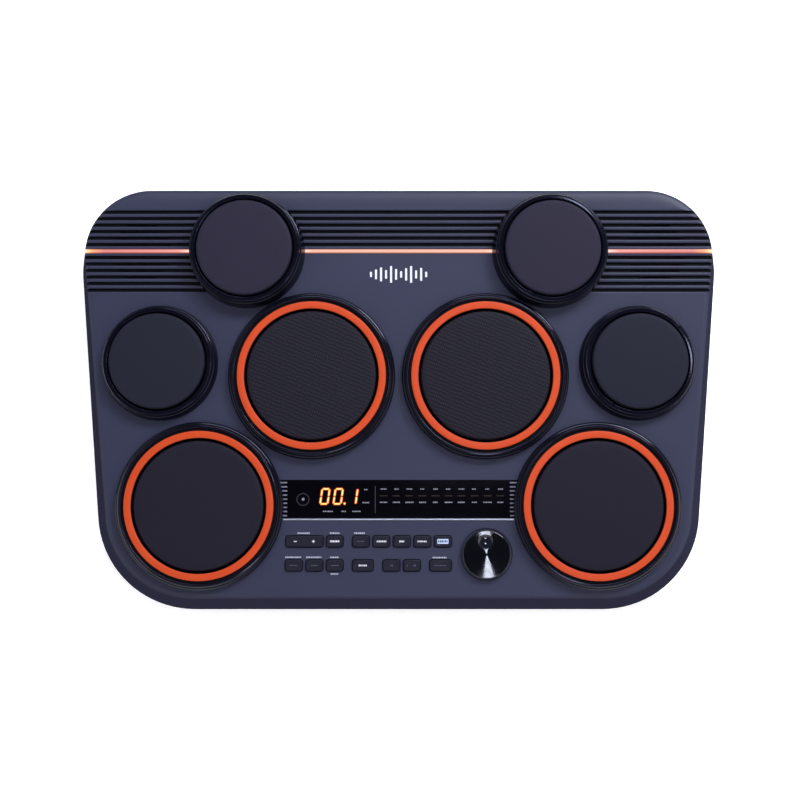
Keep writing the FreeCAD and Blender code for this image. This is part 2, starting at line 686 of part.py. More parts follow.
def make_key(name, x, width, v):
    """A moulded key cap with a flange that holds it under the deck."""
    key = new_body(name, on_deck=True)
    cap = new_sketch(key, "XY_Plane", ("0", "0", "-5"))
    box_outline(cap, (f"{x}", v), (f"{width}", "key_depth"), "2")
    pad(key, cap, "key_proud + 5")
    flange = new_sketch(key, "XY_Plane", ("0", "0", "-4.5"))
    box_outline(flange, (f"{x}", v), (f"{width} + 2", "key_depth + 2"))
    pad(key, flange, "1.2", down=True)
    base = key.Tip
    top = base.Shape.BoundBox.ZMax
    edges = [
        f"Edge{i}" for i, edge in enumerate(base.Shape.Edges, 1)
        if all(abs(p.Point.z - top) < 1e-4 for p in edge.Vertexes)
    ]
    fillet = key.newObject("PartDesign::Fillet", "Fillet")
    fillet.Base = (base, edges)
    fillet.Radius = 0.7


def make_key_board():
    """Circuit board under the panel with a press switch for each key."""
    board = new_body("key_board", on_deck=True)
    sketch = new_sketch(board, "XY_Plane", ("0", "0", "board_h"))
    box_outline(sketch, ("0", "-128.5"), ("228", "95"))
    pad(board, sketch, "1.6", down=True)
    switches = new_body("key_switches", on_deck=True)
    bases = new_sketch(switches, "XY_Plane", ("0", "0", "board_h"))
    stems = new_sketch(switches, "XY_Plane", ("0", "0", "board_h + 3"))
    for name, x, width, v in KEYS:
        spots = (x - 11, x + 11) if name == "volume_key" else (x,)
        for spot in spots:
            box_outline(bases, (f"{spot}", v), ("6", "6"))
            circle(stems, (f"{spot}", v), "1.7")
    pad(switches, bases, "3.5")
    pad(switches, stems, "3")


def make_dial():
    """Dial with a finger dimple, its shaft and the rotary sensor below."""
    at = ("dial_x", "dial_v", "0")
    knob = new_body("dial_knob", on_deck=True)
    profile = [
        ("0", "dial_top - 0.5"), ("dial_radius - 2.6", "dial_top - 0.1"),
        ("dial_radius - 1.2", "dial_top"), ("dial_radius - 0.3", "dial_top - 0.5"),
        ("dial_radius", "dial_top - 1.4"), ("dial_radius", "-0.7"), ("3.02", "-0.7"),
        ("3.02", "3.6"), ("0", "3.6"),
    ]
    turned(knob, profile, at)
    deep, across = 1.5, 6.7
    radius = (across ** 2 + deep ** 2) / (2 * deep)
    dimple = knob.newObject("PartDesign::SubtractiveSphere", "Dimple")
    dimple.Radius = radius
    dimple.AttachmentSupport = [(origin_plane(knob, "XY_Plane"), "")]
    dimple.MapMode = "FlatFace"
    dimple.AttachmentOffset = FreeCAD.Placement(
        VEC(value("dial_x") - 1.1, value("dial_v") + 11.6, value("dial_top") - 0.3 + radius - deep),
        FreeCAD.Rotation(),
    )
    shaft = new_body("encoder_shaft", on_deck=True)
    turned(shaft, [("0", "3.6"), ("3", "3.6"), ("3", "-10"), ("0", "-10")], at)
    sensor = new_body("encoder_body", on_deck=True)
    base = new_sketch(sensor, "XY_Plane", ("0", "0", "board_h"))
    box_outline(base, ("dial_x", "dial_v"), ("12", "12"))
    pad(sensor, base, "6.5")
    neck = new_sketch(sensor, "XY_Plane", ("0", "0", "board_h + 6"))
    circle(neck, ("dial_x", "dial_v"), "3.9")
    pad(sensor, neck, "-board_h - 6 - 1.9")
    bore = new_sketch(sensor, "XY_Plane", ("0", "0", "0"))
    circle(bore, ("dial_x", "dial_v"), "3.06")
    pocket(sensor, bore, "10.4")


# ------------------------------------------------- speakers, boards, sockets
def make_speakers():
    """Two small cone speakers held under the collars of the deck."""
    for side, name in ((-1, "speaker_left"), (1, "speaker_right")):
        body = new_body(name, on_deck=True)
        profile = [
            ("0", "-18"), ("8", "-18"), ("30", "-12.2"), ("30", "-11"), ("35.5", "-11"),
            ("35.5", "-12.6"), ("32.5", "-12.6"), ("20", "-26"), ("17.5", "-26"),
            ("17.5", "-36"), ("0", "-36"),
        ]
        turned(body, profile, (f"{side} * {SPEAKER[0]}", SPEAKER[1], "0"))


SOCKETS = [("phones_socket", 44.0), ("kick_pedal_socket", 8.0), ("hat_pedal_socket", -24.0)]
SMALL_SOCKETS = [(82.0, 5.2, 2.75, 10.0), (66.0, 3.8, 1.8, 14.0)]
BUTTON_X = -62.0


def make_back():
    """Socket tray in the back wall, the sockets, main board and power button."""
    tray = new_body("socket_tray")
    side_view = new_sketch(tray, "YZ_Plane")
    polygon(side_view, [
        ("plate_y - 2", "socket_height - 10.8"), ("194.0", "socket_height - 10.8"),
        ("189.6", "socket_height + 10.8"), ("plate_y - 2", "socket_height + 10.8"),
    ])
    pad(tray, side_view, "235.2", both=True)
    inner = new_sketch(tray, "XZ_Plane", ("0", "0", "-200"))
    box_outline(inner, ("0", "socket_height"), ("231.4", "17.4"), "1.5")
    pocket(tray, inner, "200 - plate_y", up=True)
    holes = new_sketch(tray, "XZ_Plane", ("0", "0", "-200"))
    for name, x in SOCKETS:
        circle(holes, (f"{x}", "socket_height"), "neck_hole")
    for x, outer, bore, depth in SMALL_SOCKETS:
        circle(holes, (f"{x}", "socket_height"), f"{outer} + 0.1")
    circle(holes, (f"{BUTTON_X}", "socket_height"), "button_hole")
    pocket(tray, holes, "24", up=True)

    sockets = new_body("rear_sockets")
    bodies = new_sketch(sockets, "XZ_Plane", ("0", "0", "-plate_y + 2.1"))
    for name, x in SOCKETS:
        box_outline(bodies, (f"{x}", "socket_height"), ("15", "15"))
    for x, outer, bore, depth in SMALL_SOCKETS:
        box_outline(bodies, (f"{x}", "socket_height - 1"), ("11", "13"))
    pad(sockets, bodies, "30")
    necks = new_sketch(sockets, "XZ_Plane", ("0", "0", "-plate_y + 4"))
    for name, x in SOCKETS:
        circle(necks, (f"{x}", "socket_height"), "socket_neck")
    for x, outer, bore, depth in SMALL_SOCKETS:
        circle(necks, (f"{x}", "socket_height"), f"{outer}")
    pad(sockets, necks, "5.5", down=True)
    bores = new_sketch(sockets, "XZ_Plane", ("0", "0", "-plate_y - 1.5"))
    for name, x in SOCKETS:
        circle(bores, (f"{x}", "socket_height"), "socket_bore")
    pocket(sockets, bores, "27", up=True)
    for x, outer, bore, depth in SMALL_SOCKETS:
        bores = new_sketch(sockets, "XZ_Plane", ("0", "0", "-plate_y - 1.5"))
        circle(bores, (f"{x}", "socket_height"), f"{bore}")
        pocket(sockets, bores, f"{depth}", up=True)

    board = new_body("main_board")
    sheet = new_sketch(board, "XY_Plane", ("0", "0", "socket_height - main_board_drop"))
    box_outline(sheet, ("0", "146"), ("224", "66"))
    pad(board, sheet, "1.6")
    chips = new_sketch(board, "XY_Plane", ("0", "0", "socket_height - main_board_drop + 1.4"))
    for x, y, w, d in ((-40, 134, 20, 20), (20, 130, 14, 10), (60, 132, 12, 12), (-80, 130, 10, 8)):
        box_outline(chips, (f"{x}", f"{y}"), (f"{w}", f"{d}"))
    pad(board, chips, "2")

    switch = new_body("power_switch")
    base = new_sketch(switch, "XZ_Plane", ("0", "0", "-plate_y + 7"))
    box_outline(base, (f"{BUTTON_X}", "socket_height - 0.5"), ("12", "14"))
    pad(switch, base, "14")
    button = new_body("power_button")
    cap = new_sketch(button, "XZ_Plane", ("0", "0", "-plate_y - 4"))
    circle(cap, (f"{BUTTON_X}", "socket_height"), "button_radius")
    pad(button, cap, "7.5")


# -------------------------------------------------------------- build, check
make_top_case()
make_bottom_case()
make_feet()
make_case_screws()
make_battery_bay()
make_rims()
make_pads()
make_light_strip()
make_display()
for key in KEYS:
    make_key(*key)
make_key_board()
make_dial()
make_speakers()
make_back()
doc.recompute()

for item in doc.Objects:
    faults = [word for word in item.State if word in ("Invalid", "Error")]
    assert not faults, f"{item.Label}: {faults}"
sub_parts = [item for item in doc.Objects if item.TypeId == "PartDesign::Body"]
for item in sub_parts:
    assert not item.Shape.isNull() and item.Shape.isValid(), f"{item.Label}: bad shape"

os.makedirs("parts", exist_ok=True)
for item in sub_parts:
    item.Shape.exportStep(f"parts/{item.Label}.step")
    box = item.Shape.BoundBox
    print(f"{item.Label:22s} solids {len(item.Shape.Solids):2d}  {item.Shape.Volume / 1000:8.1f} cm3  "
          f"z {box.ZMin:6.1f} to {box.ZMax:6.1f}")
print(len(sub_parts), "sub-parts")
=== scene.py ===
import json
import math
import random

import bmesh
import bpy
from mathutils import Matrix, Vector


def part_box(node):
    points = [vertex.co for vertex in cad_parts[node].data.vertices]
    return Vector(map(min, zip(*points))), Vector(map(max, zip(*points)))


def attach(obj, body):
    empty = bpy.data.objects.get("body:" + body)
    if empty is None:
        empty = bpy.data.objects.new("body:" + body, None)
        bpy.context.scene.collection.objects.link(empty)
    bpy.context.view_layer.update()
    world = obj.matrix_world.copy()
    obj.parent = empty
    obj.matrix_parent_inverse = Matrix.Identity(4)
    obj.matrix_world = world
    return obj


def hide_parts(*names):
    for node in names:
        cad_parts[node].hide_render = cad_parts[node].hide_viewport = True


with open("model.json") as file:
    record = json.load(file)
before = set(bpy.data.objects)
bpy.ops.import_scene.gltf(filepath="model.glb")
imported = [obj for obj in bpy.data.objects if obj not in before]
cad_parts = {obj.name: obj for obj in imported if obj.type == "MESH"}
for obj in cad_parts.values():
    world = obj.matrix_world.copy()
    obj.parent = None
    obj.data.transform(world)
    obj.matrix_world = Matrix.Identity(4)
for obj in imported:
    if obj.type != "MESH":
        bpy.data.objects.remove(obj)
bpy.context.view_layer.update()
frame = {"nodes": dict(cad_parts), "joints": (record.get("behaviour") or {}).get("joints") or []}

MM = 0.001

# ---------------------------------------------------------------- studio
# A white table in a pale room. Soft lights stand behind, in front and at the
# sides, two small ones draw the dial's highlight, and the camera is high up.


def srgb(code):
    """An sRGB hex colour as the linear colour that Blender mixes in."""
    channels = [int(code[i:i + 2], 16) / 255 for i in (1, 3, 5)]
    linear = [c / 12.92 if c <= 0.04045 else ((c + 0.055) / 1.055) ** 2.4 for c in channels]
    return (*linear, 1.0)


def add_node(material, kind, settings=None, links=None):
    """Adds one shader node, sets its values and links its inputs."""
    item = material.node_tree.nodes.new(kind)
    for name, value in (settings or {}).items():
        if hasattr(item, name):
            setattr(item, name, value)
        else:
            item.inputs[name].default_value = value
    for name, source in (links or {}).items():
        material.node_tree.links.new(source, item.inputs[name])
    return item


def new_material(name):
    """An empty material with its shader and object coordinates."""
    material = bpy.data.materials.new(name)
    material.use_nodes = True
    shader = material.node_tree.nodes["Principled BSDF"]
    place = add_node(material, "ShaderNodeTexCoord").outputs["Object"]
    return material, shader, place


def noise(material, place, scale, detail=2.0):
    """A noise from 0 to 1 over the object's own coordinates."""
    return add_node(material, "ShaderNodeTexNoise", {"Scale": scale, "Detail": detail},
                    {"Vector": place}).outputs["Fac"]


def between(material, factor, first, second):
    """A colour that drifts between two."""
    mix = add_node(material, "ShaderNodeMix", {"data_type": "RGBA"}, {"Factor": factor})
    mix.inputs["A"].default_value = srgb(first)
    mix.inputs["B"].default_value = srgb(second)
    return mix.outputs["Result"]


def spread(material, value, low, high, start=0.0, end=1.0):
    """A value between start and end, stretched to run from low to high."""
    settings = {"From Min": start, "From Max": end, "To Min": low, "To Max": high}
    return add_node(material, "ShaderNodeMapRange", settings, {"Value": value}).outputs["Result"]


def relief(material, height, strength, depth):
    """A fine relief, its depth in metres."""
    return add_node(material, "ShaderNodeBump", {"Strength": strength, "Distance": depth},
                    {"Height": height}).outputs["Normal"]


def feed(material, shader, sockets):
    """Sets a shader's inputs, each to a value or from another node."""
    for title, value in sockets.items():
        if isinstance(value, bpy.types.NodeSocket):
            material.node_tree.links.new(value, shader.inputs[title])
        else:
            shader.inputs[title].default_value = value


scene = bpy.context.scene
scene.view_settings.view_transform = "Standard"

FLOOR_RADIUS = 2.1
FLOOR_STEPS = 128
floor_mesh = bpy.data.meshes.new("floor")
turns = [2 * math.pi * i / FLOOR_STEPS for i in range(FLOOR_STEPS)]
floor_mesh.from_pydata(
    [(FLOOR_RADIUS * math.cos(a), FLOOR_RADIUS * math.sin(a), 0) for a in turns], [],
    [tuple(range(FLOOR_STEPS))]
)
floor = bpy.data.objects.new("floor", floor_mesh)
scene.collection.objects.link(floor)
# The table is lit faintly from below, which keeps its shadows soft, and the
# camera sees it a little brighter than the object does.
paper, paper_shader, place = new_material("white_paper_sweep")
seen = add_node(paper, "ShaderNodeLightPath").outputs["Is Camera Ray"]
feed(paper, paper_shader, {
    "Base Color": between(paper, noise(paper, place, 90.0), "#fbfbfb", "#fefefe"),
    "Roughness": 0.9,
    "Emission Color": srgb("#ffffff"),
    "Emission Strength": spread(paper, seen, 0.28, 0.52),
})
# From below, the table is clear, so that the underside can be looked at.
below = add_node(paper, "ShaderNodeNewGeometry").outputs["Backfacing"]
clear = add_node(paper, "ShaderNodeBsdfTransparent").outputs["BSDF"]
table_top = add_node(paper, "ShaderNodeMixShader", None, {"Fac": below})
paper.node_tree.links.new(paper_shader.outputs["BSDF"], table_top.inputs[1])
paper.node_tree.links.new(clear, table_top.inputs[2])
paper.node_tree.links.new(table_top.outputs["Shader"],
                          paper.node_tree.nodes["Material Output"].inputs["Surface"])
floor.data.materials.append(paper)

# The room: pale walls all round, and a dark ceiling straight over the table.
world = bpy.data.worlds.new("studio_room")
scene.world = world
world.use_nodes = True
around = add_node(world, "ShaderNodeTexCoord").outputs["Object"]
height = add_node(world, "ShaderNodeSeparateXYZ", None, {"Vector": around}).outputs["Z"]
room = world.node_tree.nodes["Background"]
feed(world, room, {
    "Color": between(world, spread(world, height, 0.0, 1.0, 0.60, 0.985), "#e3e4ea", "#34353a"),
    "Strength": 0.42,
})
# Beyond the table the camera sees plain white.
beyond = add_node(world, "ShaderNodeBackground", {"Strength": 1.05})
beyond.inputs["Color"].default_value = srgb("#ffffff")
seen = add_node(world, "ShaderNodeLightPath").outputs["Is Camera Ray"]
either = add_node(world, "ShaderNodeMixShader", None, {"Fac": seen})
world.node_tree.links.new(room.outputs["Background"], either.inputs[1])
world.node_tree.links.new(beyond.outputs["Background"], either.inputs[2])
world.node_tree.links.new(either.outputs["Shader"],
                          world.node_tree.nodes["World Output"].inputs["Surface"])

LIGHTS = [
    # name, place, aimed at, width, depth, watts, colour
    ("back_softbox", (0.15, 1.55, 2.30), (0.0, 0.1, 0.0), 1.2, 0.7, 26.0, "#eef2ff"),
    ("back_right_softbox", (1.25, 1.35, 1.90), (0.05, 0.05, 0.0), 0.9, 0.7, 47.0, "#f7f9ff"),
    ("back_left_softbox", (-1.9, 1.2, 1.9), (-0.1, 0.05, 0.0), 1.8, 1.8, 7.0, "#fbfaff"),
    ("left_softbox", (-2.0, -0.8, 1.9), (-0.1, 0.0, 0.0), 2.0, 2.0, 13.0, "#fdfbff"),
    ("right_softbox", (2.2, -0.8, 1.9), (0.1, 0.0, 0.0), 2.0, 2.0, 17.0, "#fffdfd"),
    ("front_softbox", (0.0, -2.1, 2.1), (0.0, -0.1, 0.0), 2.4, 1.4, 13.0, "#fff8f8"),
    ("overhead_spot", (0.164, -0.018, 2.26), (0.08, -0.15, 0.0), 0.19, 0.18, 2.9, "#e6edff"),
    ("front_spot", (0.198, -1.03, 2.26), (0.08, -0.15, 0.0), 0.34, 0.20, 3.0, "#eef2ff"),
]
for name, position, aim, wide, deep, watts, colour in LIGHTS:
    lamp = bpy.data.lights.new(name, "AREA")
    lamp.shape = "RECTANGLE"
    lamp.size, lamp.size_y = wide, deep
    lamp.energy = watts
    lamp.color = srgb(colour)[:3]
    holder = bpy.data.objects.new(name, lamp)
    holder.location = position
    holder.rotation_euler = (Vector(aim) - Vector(position)).to_track_quat("-Z", "Y").to_euler()
    scene.collection.objects.link(holder)

CAMERA_ELEVATION = math.radians(79.0)
CAMERA_DISTANCE = 1.450
CAMERA_AIM = Vector((0.0013, -0.0069, 0.060))
lens = bpy.data.cameras.new("camera")
lens.sensor_width = 36.0
lens.lens = 71.1
camera = bpy.data.objects.new("camera", lens)
camera.location = CAMERA_AIM + CAMERA_DISTANCE * Vector(
    (0, -math.cos(CAMERA_ELEVATION), math.sin(CAMERA_ELEVATION))
)
camera.rotation_euler = (math.pi / 2 - CAMERA_ELEVATION, 0, 0)
scene.collection.objects.link(camera)
scene.camera = camera

# -------------------------------------------------------------- top case
# The upper shell, injection moulded in slate-blue ABS with a fine eroded grain.
# Its deck slopes towards the player, with wells for the pads, a ribbed band and
# cut-outs for the keys, window and dial. Screwed to the lower tray.
# Eroded ABS: satin, with a grain of about a third of a millimetre that breaks
# up the highlights, and a very slight cloudiness in the colour. The walls, told
# apart from the deck by which way each face looks, get a greyer tone and no
# shine: painted shade, standing in for the weaker light that reaches them.
abs_case, abs_shader, place = new_material("slate_blue_abs_eroded_grain_painted_wall_shade")
grain = noise(abs_case, place, 3000.0)
facing = add_node(abs_case, "ShaderNodeTexCoord").outputs["Normal"]
upward = add_node(abs_case, "ShaderNodeSeparateXYZ", None, {"Vector": facing}).outputs["Z"]
# Upward faces are deck; the sideways ones take the walls' painted shade.
flat = spread(abs_case, upward, 0.0, 1.0, 0.55, 0.90)
deck_blue = between(abs_case, noise(abs_case, place, 14.0, 3.0), "#272a41", "#2c2f47")
tint = add_node(abs_case, "ShaderNodeMix", {"data_type": "RGBA"}, {"Factor": flat, "B": deck_blue})
tint.inputs["A"].default_value = srgb("#2e2e3f")
feed(abs_case, abs_shader, {
    "Base Color": tint.outputs["Result"],
    "Roughness": spread(abs_case, grain, 0.40, 0.52),
    "Normal": relief(abs_case, grain, 0.25, 0.00006),
    "IOR": 1.54,
    "Specular IOR Level": spread(abs_case, flat, 0.0, 0.30),
})

# The valleys of the ribbed band are painted black: painted shade, standing in for the shadow deep
# in each groove.
groove_shade_black, groove_shade_shader, place = new_material("painted_groove_shade_black")
feed(groove_shade_black, groove_shade_shader, {
    "Base Color": srgb("#04050a"),
    "Roughness": spread(groove_shade_black, noise(groove_shade_black, place, 1800.0), 0.5, 0.7),
    "Specular IOR Level": 0.1,
})

SLOPE = next(j for j in frame["joints"] if j["name"] == "centre_left_strike")["axis"]
DECK_HEIGHT = 0.072
DECK = Matrix((
    (1, 0, 0, 0),
    (0, SLOPE[2], SLOPE[1], 0),
    (0, -SLOPE[1], SLOPE[2], DECK_HEIGHT),
    (0, 0, 0, 1),
))
SEAM_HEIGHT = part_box("top_case")[0].z
HALF_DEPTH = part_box("top_case")[1].y
SEAM = {"front": 268.9, "back": 307.5, "near": -HALF_DEPTH / MM, "far": HALF_DEPTH / MM,
        "front_round": 92.0, "back_round": 72.0}
DECK_EDGE = {"front": 257.7, "back": 294.2, "near": -188.0, "far": 185.0,
             "front_round": 80.0, "back_round": 60.0}
WALL = 2.8
EDGE_ROUND = 4.2
BACK_ROUND = 15.0
CORNER_STEPS = 20


def corner_arc(corner, before, after, radius, steps):
    """Points of a round corner between two straight sides, in millimetres."""
    to_before = (Vector(before) - Vector(corner)).normalized()
    to_after = (Vector(after) - Vector(corner)).normalized()
    half_angle = to_before.angle(to_after) / 2
    centre = Vector(corner) + (to_before + to_after).normalized() * radius / math.sin(half_angle)
    start = Vector(corner) + to_before * radius / math.tan(half_angle) - centre
    sweep = math.pi - 2 * half_angle
    turn = 1 if to_before.x * to_after.y - to_before.y * to_after.x < 0 else -1
    points = []
    for i in range(steps + 1):
        a = turn * sweep * i / steps
        points.append(centre + Vector((
            start.x * math.cos(a) - start.y * math.sin(a),
            start.x * math.sin(a) + start.y * math.cos(a),
        )))
    return points


def rounded_outline(corners, radii, steps=CORNER_STEPS):
    """A closed outline with each corner rounded, in millimetres."""
    points = []
    for i, corner in enumerate(corners):
        after = corners[(i + 1) % len(corners)]
        points += corner_arc(corner, corners[i - 1], after, radii[i], steps)
    return points


def case_outline(shape, inset=0.0):
    """The case's rounded outline at one level, drawn in by an inset."""
    front, back = shape["front"] - 0.91 * inset, shape["back"] - 1.1 * inset
    near, far = shape["near"] + inset, shape["far"] - inset
    corners = [(-front, near), (front, near), (back, far), (-back, far)]
    rounds = [shape["front_round"] - inset] * 2 + [shape["back_round"] - inset] * 2
    return rounded_outline(corners, rounds)


def deck_point(x, v, height):
    """Where a point given in millimetres on and over the sloping deck really is."""
    return DECK @ Vector((x * MM, v * MM, height * MM))


def on_deck(outline, height):
    """An outline laid at a height over the sloping deck, in metres."""
    return [deck_point(p[0], p[1], height) for p in outline]


def level(outline, height):
    """An outline laid level at a height over the table, in metres."""
    return [Vector((p[0] * MM, p[1] * MM, height)) for p in outline]


def mesh_object(name, points, faces, sharp=30.0):
    """A mesh object with outward faces, smooth except over sharp edges."""
    mesh = bpy.data.meshes.new(name)
    mesh.from_pydata([tuple(p) for p in points], [], faces)
    tidy_mesh(mesh, sharp)
    item = bpy.data.objects.new(name, mesh)
    scene.collection.objects.link(item)
    return item


def tidy_mesh(mesh, sharp=30.0):
    """Merges doubles, turns faces outwards and marks the sharp edges."""
    work = bmesh.new()
    work.from_mesh(mesh)
    bmesh.ops.remove_doubles(work, verts=work.verts, dist=1e-6)
    bmesh.ops.recalc_face_normals(work, faces=work.faces)
    work.to_mesh(mesh)
    work.free()
    mesh.shade_smooth()
    mesh.set_sharp_from_angle(angle=math.radians(sharp))


def stacked(name, rings, sharp=30.0):
    """A closed solid through a stack of rings with the same point count."""
    count = len(rings[0])
    points = [p for ring in rings for p in ring]
    faces = []
    for level_number in range(len(rings) - 1):
        base = level_number * count
        for i in range(count):
            j = (i + 1) % count
            faces.append((base + i, base + j, base + count + j, base + count + i))
    faces.append(tuple(range(count))[::-1])
    faces.append(tuple(range(len(points) - count, len(points))))
    return mesh_object(name, points, faces, sharp)


def wear(item, material):
    """Gives an object one material over all its faces."""
    item.data.materials.clear()
    item.data.materials.append(material)


def evaluated_mesh(item):
    """The object's mesh with its modifiers worked in."""
    graph = bpy.context.evaluated_depsgraph_get()
    return bpy.data.meshes.new_from_object(item.evaluated_get(graph))


def carve(item, cutters):
    """Cuts solids out of an object and removes them."""
    for cutter in cutters:
        if item.data.materials and not cutter.data.materials:
            wear(cutter, item.data.materials[0])
        cut = item.modifiers.new("Cut", "BOOLEAN")
        cut.material_mode = "TRANSFER"
        cut.operation = "DIFFERENCE"
        cut.solver = "EXACT"
        cut.object = cutter
        bpy.context.view_layer.update()
        old, item.data = item.data, evaluated_mesh(item)
        item.modifiers.clear()
        bpy.data.meshes.remove(old)
        bpy.data.objects.remove(cutter)


def joined(name, items):
    """Several separate solids as one object."""
    work = bmesh.new()
    finishes = list(items[0].data.materials)
    for item in items:
        work.from_mesh(item.data)
        bpy.data.objects.remove(item)
    mesh = bpy.data.meshes.new(name)
    work.to_mesh(mesh)
    work.free()
    for finish in finishes:
        mesh.materials.append(finish)
    item = bpy.data.objects.new(name, mesh)
    scene.collection.objects.link(item)
    return item


def rectangle(x, v, wide, deep, radius, steps=6):
    """A rounded rectangle about a middle point, in millimetres."""
    corners = [(x - wide / 2, v - deep / 2), (x + wide / 2, v - deep / 2),
               (x + wide / 2, v + deep / 2), (x - wide / 2, v + deep / 2)]
    return rounded_outline(corners, [radius] * 4, steps)


def disc_outline(x, v, radius, steps=96):
    """A circle as an outline, in millimetres."""
    turns = [2 * math.pi * i / steps for i in range(steps)]
    return [(x + radius * math.cos(a), v + radius * math.sin(a)) for a in turns]


def hole_cutter(outline_at, depth, chamfer=0.35):
    """A cutter for a hole in the deck with a fine chamfer round its mouth."""
    levels = [(-depth, 0.0), (-chamfer, 0.0), (0.02, chamfer + 0.02), (4.0, chamfer + 0.02)]
    return stacked("cutter", [on_deck(outline_at(grow), height) for height, grow in levels])


def bezier(a, corner, b, steps):
    """Points from a to b, rounding a corner."""
    points = []
    for i in range(steps + 1):
        s = i / steps
        points.append((1 - s) ** 2 * a + 2 * s * (1 - s) * corner + s ** 2 * b)
    return points


def deck_centre(node):
    """Where a node's middle is on the deck, in millimetres."""
    low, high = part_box(node)
    middle = DECK.inverted() @ ((low + high) / 2)
    return middle.x / MM, middle.y / MM


seam = level(case_outline(SEAM), SEAM_HEIGHT)
sharp_edge = on_deck(case_outline(DECK_EDGE), 0)
inner_edge = []
for near, far in zip(case_outline(DECK_EDGE, EDGE_ROUND), case_outline(DECK_EDGE, BACK_ROUND)):
    toward_back = min(1.0, max(0.0, (near[1] - 140) / 40)) ** 2
    inner_edge.append(near.lerp(far, toward_back))
inner_edge = on_deck(inner_edge, 0)
wall_top = [
    corner + (low - corner).normalized() * EDGE_ROUND * MM
    for corner, low in zip(sharp_edge, seam)
]
columns = [bezier(a, c, b, 9) for a, c, b in zip(wall_top, sharp_edge, inner_edge)]
SEAM_CHAMFER = 0.5
shell_rings = [level(case_outline(SEAM, SEAM_CHAMFER), SEAM_HEIGHT)]
shell_rings.append([p.lerp(c, 0.012) for p, c in zip(seam, sharp_edge)])
shell_rings += [list(ring) for ring in zip(*columns)]
top_case = stacked("deck_shell", shell_rings)
wear(top_case, abs_case)
cavity = stacked("cutter", [
    level(case_outline(SEAM, WALL), SEAM_HEIGHT - 0.002),
    level(case_outline(SEAM, WALL), SEAM_HEIGHT),
    on_deck(case_outline(DECK_EDGE, WALL), -WALL - 0.4),
])

LARGE_PADS = ["centre_left", "centre_right", "lower_left", "lower_right"]
SMALL_PADS = ["cymbal_left", "cymbal_right", "side_left", "side_right"]
LARGE_WELL, SMALL_WELL = 63.7, 38.0
wells = []
for pads, well in ((LARGE_PADS, LARGE_WELL), (SMALL_PADS, SMALL_WELL)):
    for pad in pads:
        x, v = deck_centre(f"{pad}_head")
        wells.append(stacked("cutter", [on_deck(disc_outline(x, v, well), h) for h in (-9, 4)]))

# Each groove is narrow and deep, and the ribs between them are rounded over.
RIB_PITCH = 6.05
GROOVE_HALF = [(1.15, -2.3), (1.28, -1.0), (1.45, -0.62), (1.75, -0.34), (2.15, -0.15),
               (2.55, -0.04), (2.92, 0.02), (2.92, 4.0)]
GROOVE = [(-across, h) for across, h in reversed(GROOVE_HALF)] + GROOVE_HALF
CYMBAL_X = deck_centre("cymbal_right_head")[0]


def groove_cutter(v, start, end):
    """One groove across the deck from one side to the other."""
    ends = [[deck_point(x, v + dv, h) for dv, h in GROOVE] for x in (start, end)]
    cutter = stacked("cutter", ends)
    cutter.data.materials.append(abs_case)
    cutter.data.materials.append(groove_shade_black)
    # Faces deeper than about half a millimetre in each groove take the black of painted shade.
    for face in cutter.data.polygons:
        depth = (DECK.inverted() @ face.center).z / MM
        face.material_index = 1 if depth < -0.55 and len(face.vertices) == 4 else 0
    return cutter


grooves = [groove_cutter(134.2 + i * RIB_PITCH, -320, 320) for i in range(6)]
for i in range(6):
    for side in (-1, 1):
        grooves.append(groove_cutter(92.0 + i * RIB_PITCH, side * CYMBAL_X, side * 320))

LIGHT_V = 128.2
LIGHT_WIDTH = 3.6
slots = []
for start, end in ((-90, 90), (190.5, 320), (-320, -190.5)):
    slots.append(hole_cutter(
        lambda grow: rectangle((start + end) / 2, LIGHT_V, end - start,
                               LIGHT_WIDTH + 0.3 + 2 * grow, 0.05, 1), 6.4, 0.3))

SPEAKER_X = deck_centre("speaker_right")[0]
SPEAKER_OPEN = 28.0
for row in range(6):
    for first in (134.2, 92.0):
        v = first + row * RIB_PITCH
        reach = SPEAKER_OPEN ** 2 - (v - LIGHT_V) ** 2
        if reach > 100:
            for side in (-1, 1):
                outline = rectangle(side * SPEAKER_X, v, 2 * math.sqrt(reach), 1.3, 0.6, 3)
                slots.append(stacked("cutter", [on_deck(outline, h) for h in (-5, -1.2)]))

KEYS = ["volume_key", "tempo_key", "kit_key", "song_key", "voice_key", "click_key", "record_key",
        "menu_key", "effect_key", "bank_key", "start_key", "mute_key", "solo_key", "sampler_key"]
KEY_DEPTH = 9.8
KEY_GAP = 0.4
key_places = {}
holes = []
for name in KEYS:
    x, v = deck_centre(name)
    low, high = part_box(name)
    wide = (high.x - low.x) / MM - 2.0
    key_places[name] = (x, v, wide)
    holes.append(hole_cutter(
        lambda grow: rectangle(x, v, wide + 2 * KEY_GAP + 2 * grow,
                               KEY_DEPTH + 2 * KEY_GAP + 2 * grow, 2.4 + grow), 7.0))

LENS_WIDTH, LENS_DEPTH = 218.4, 34.2
LENS_V = deck_centre("display_lens")[1]
TRIM_V = deck_centre("panel_trim")[1]
TRIM_WIDTH = (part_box("panel_trim")[1].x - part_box("panel_trim")[0].x) / MM
ledge = hole_cutter(
    lambda grow: rectangle(0, LENS_V, LENS_WIDTH + 0.3 + 2 * grow, LENS_DEPTH + 0.3 + 2 * grow,
                           3.0 + grow), 2.0, 0.25)
window = stacked("cutter", [on_deck(rectangle(0, LENS_V, LENS_WIDTH - 6, LENS_DEPTH - 6, 2), h)
                            for h in (-6, -1.5)])
channel = hole_cutter(
    lambda grow: rectangle(0, TRIM_V, TRIM_WIDTH + 0.4 + 2 * grow, 1.9 + 2 * grow, 0.5, 3),
    1.2, 0.1)

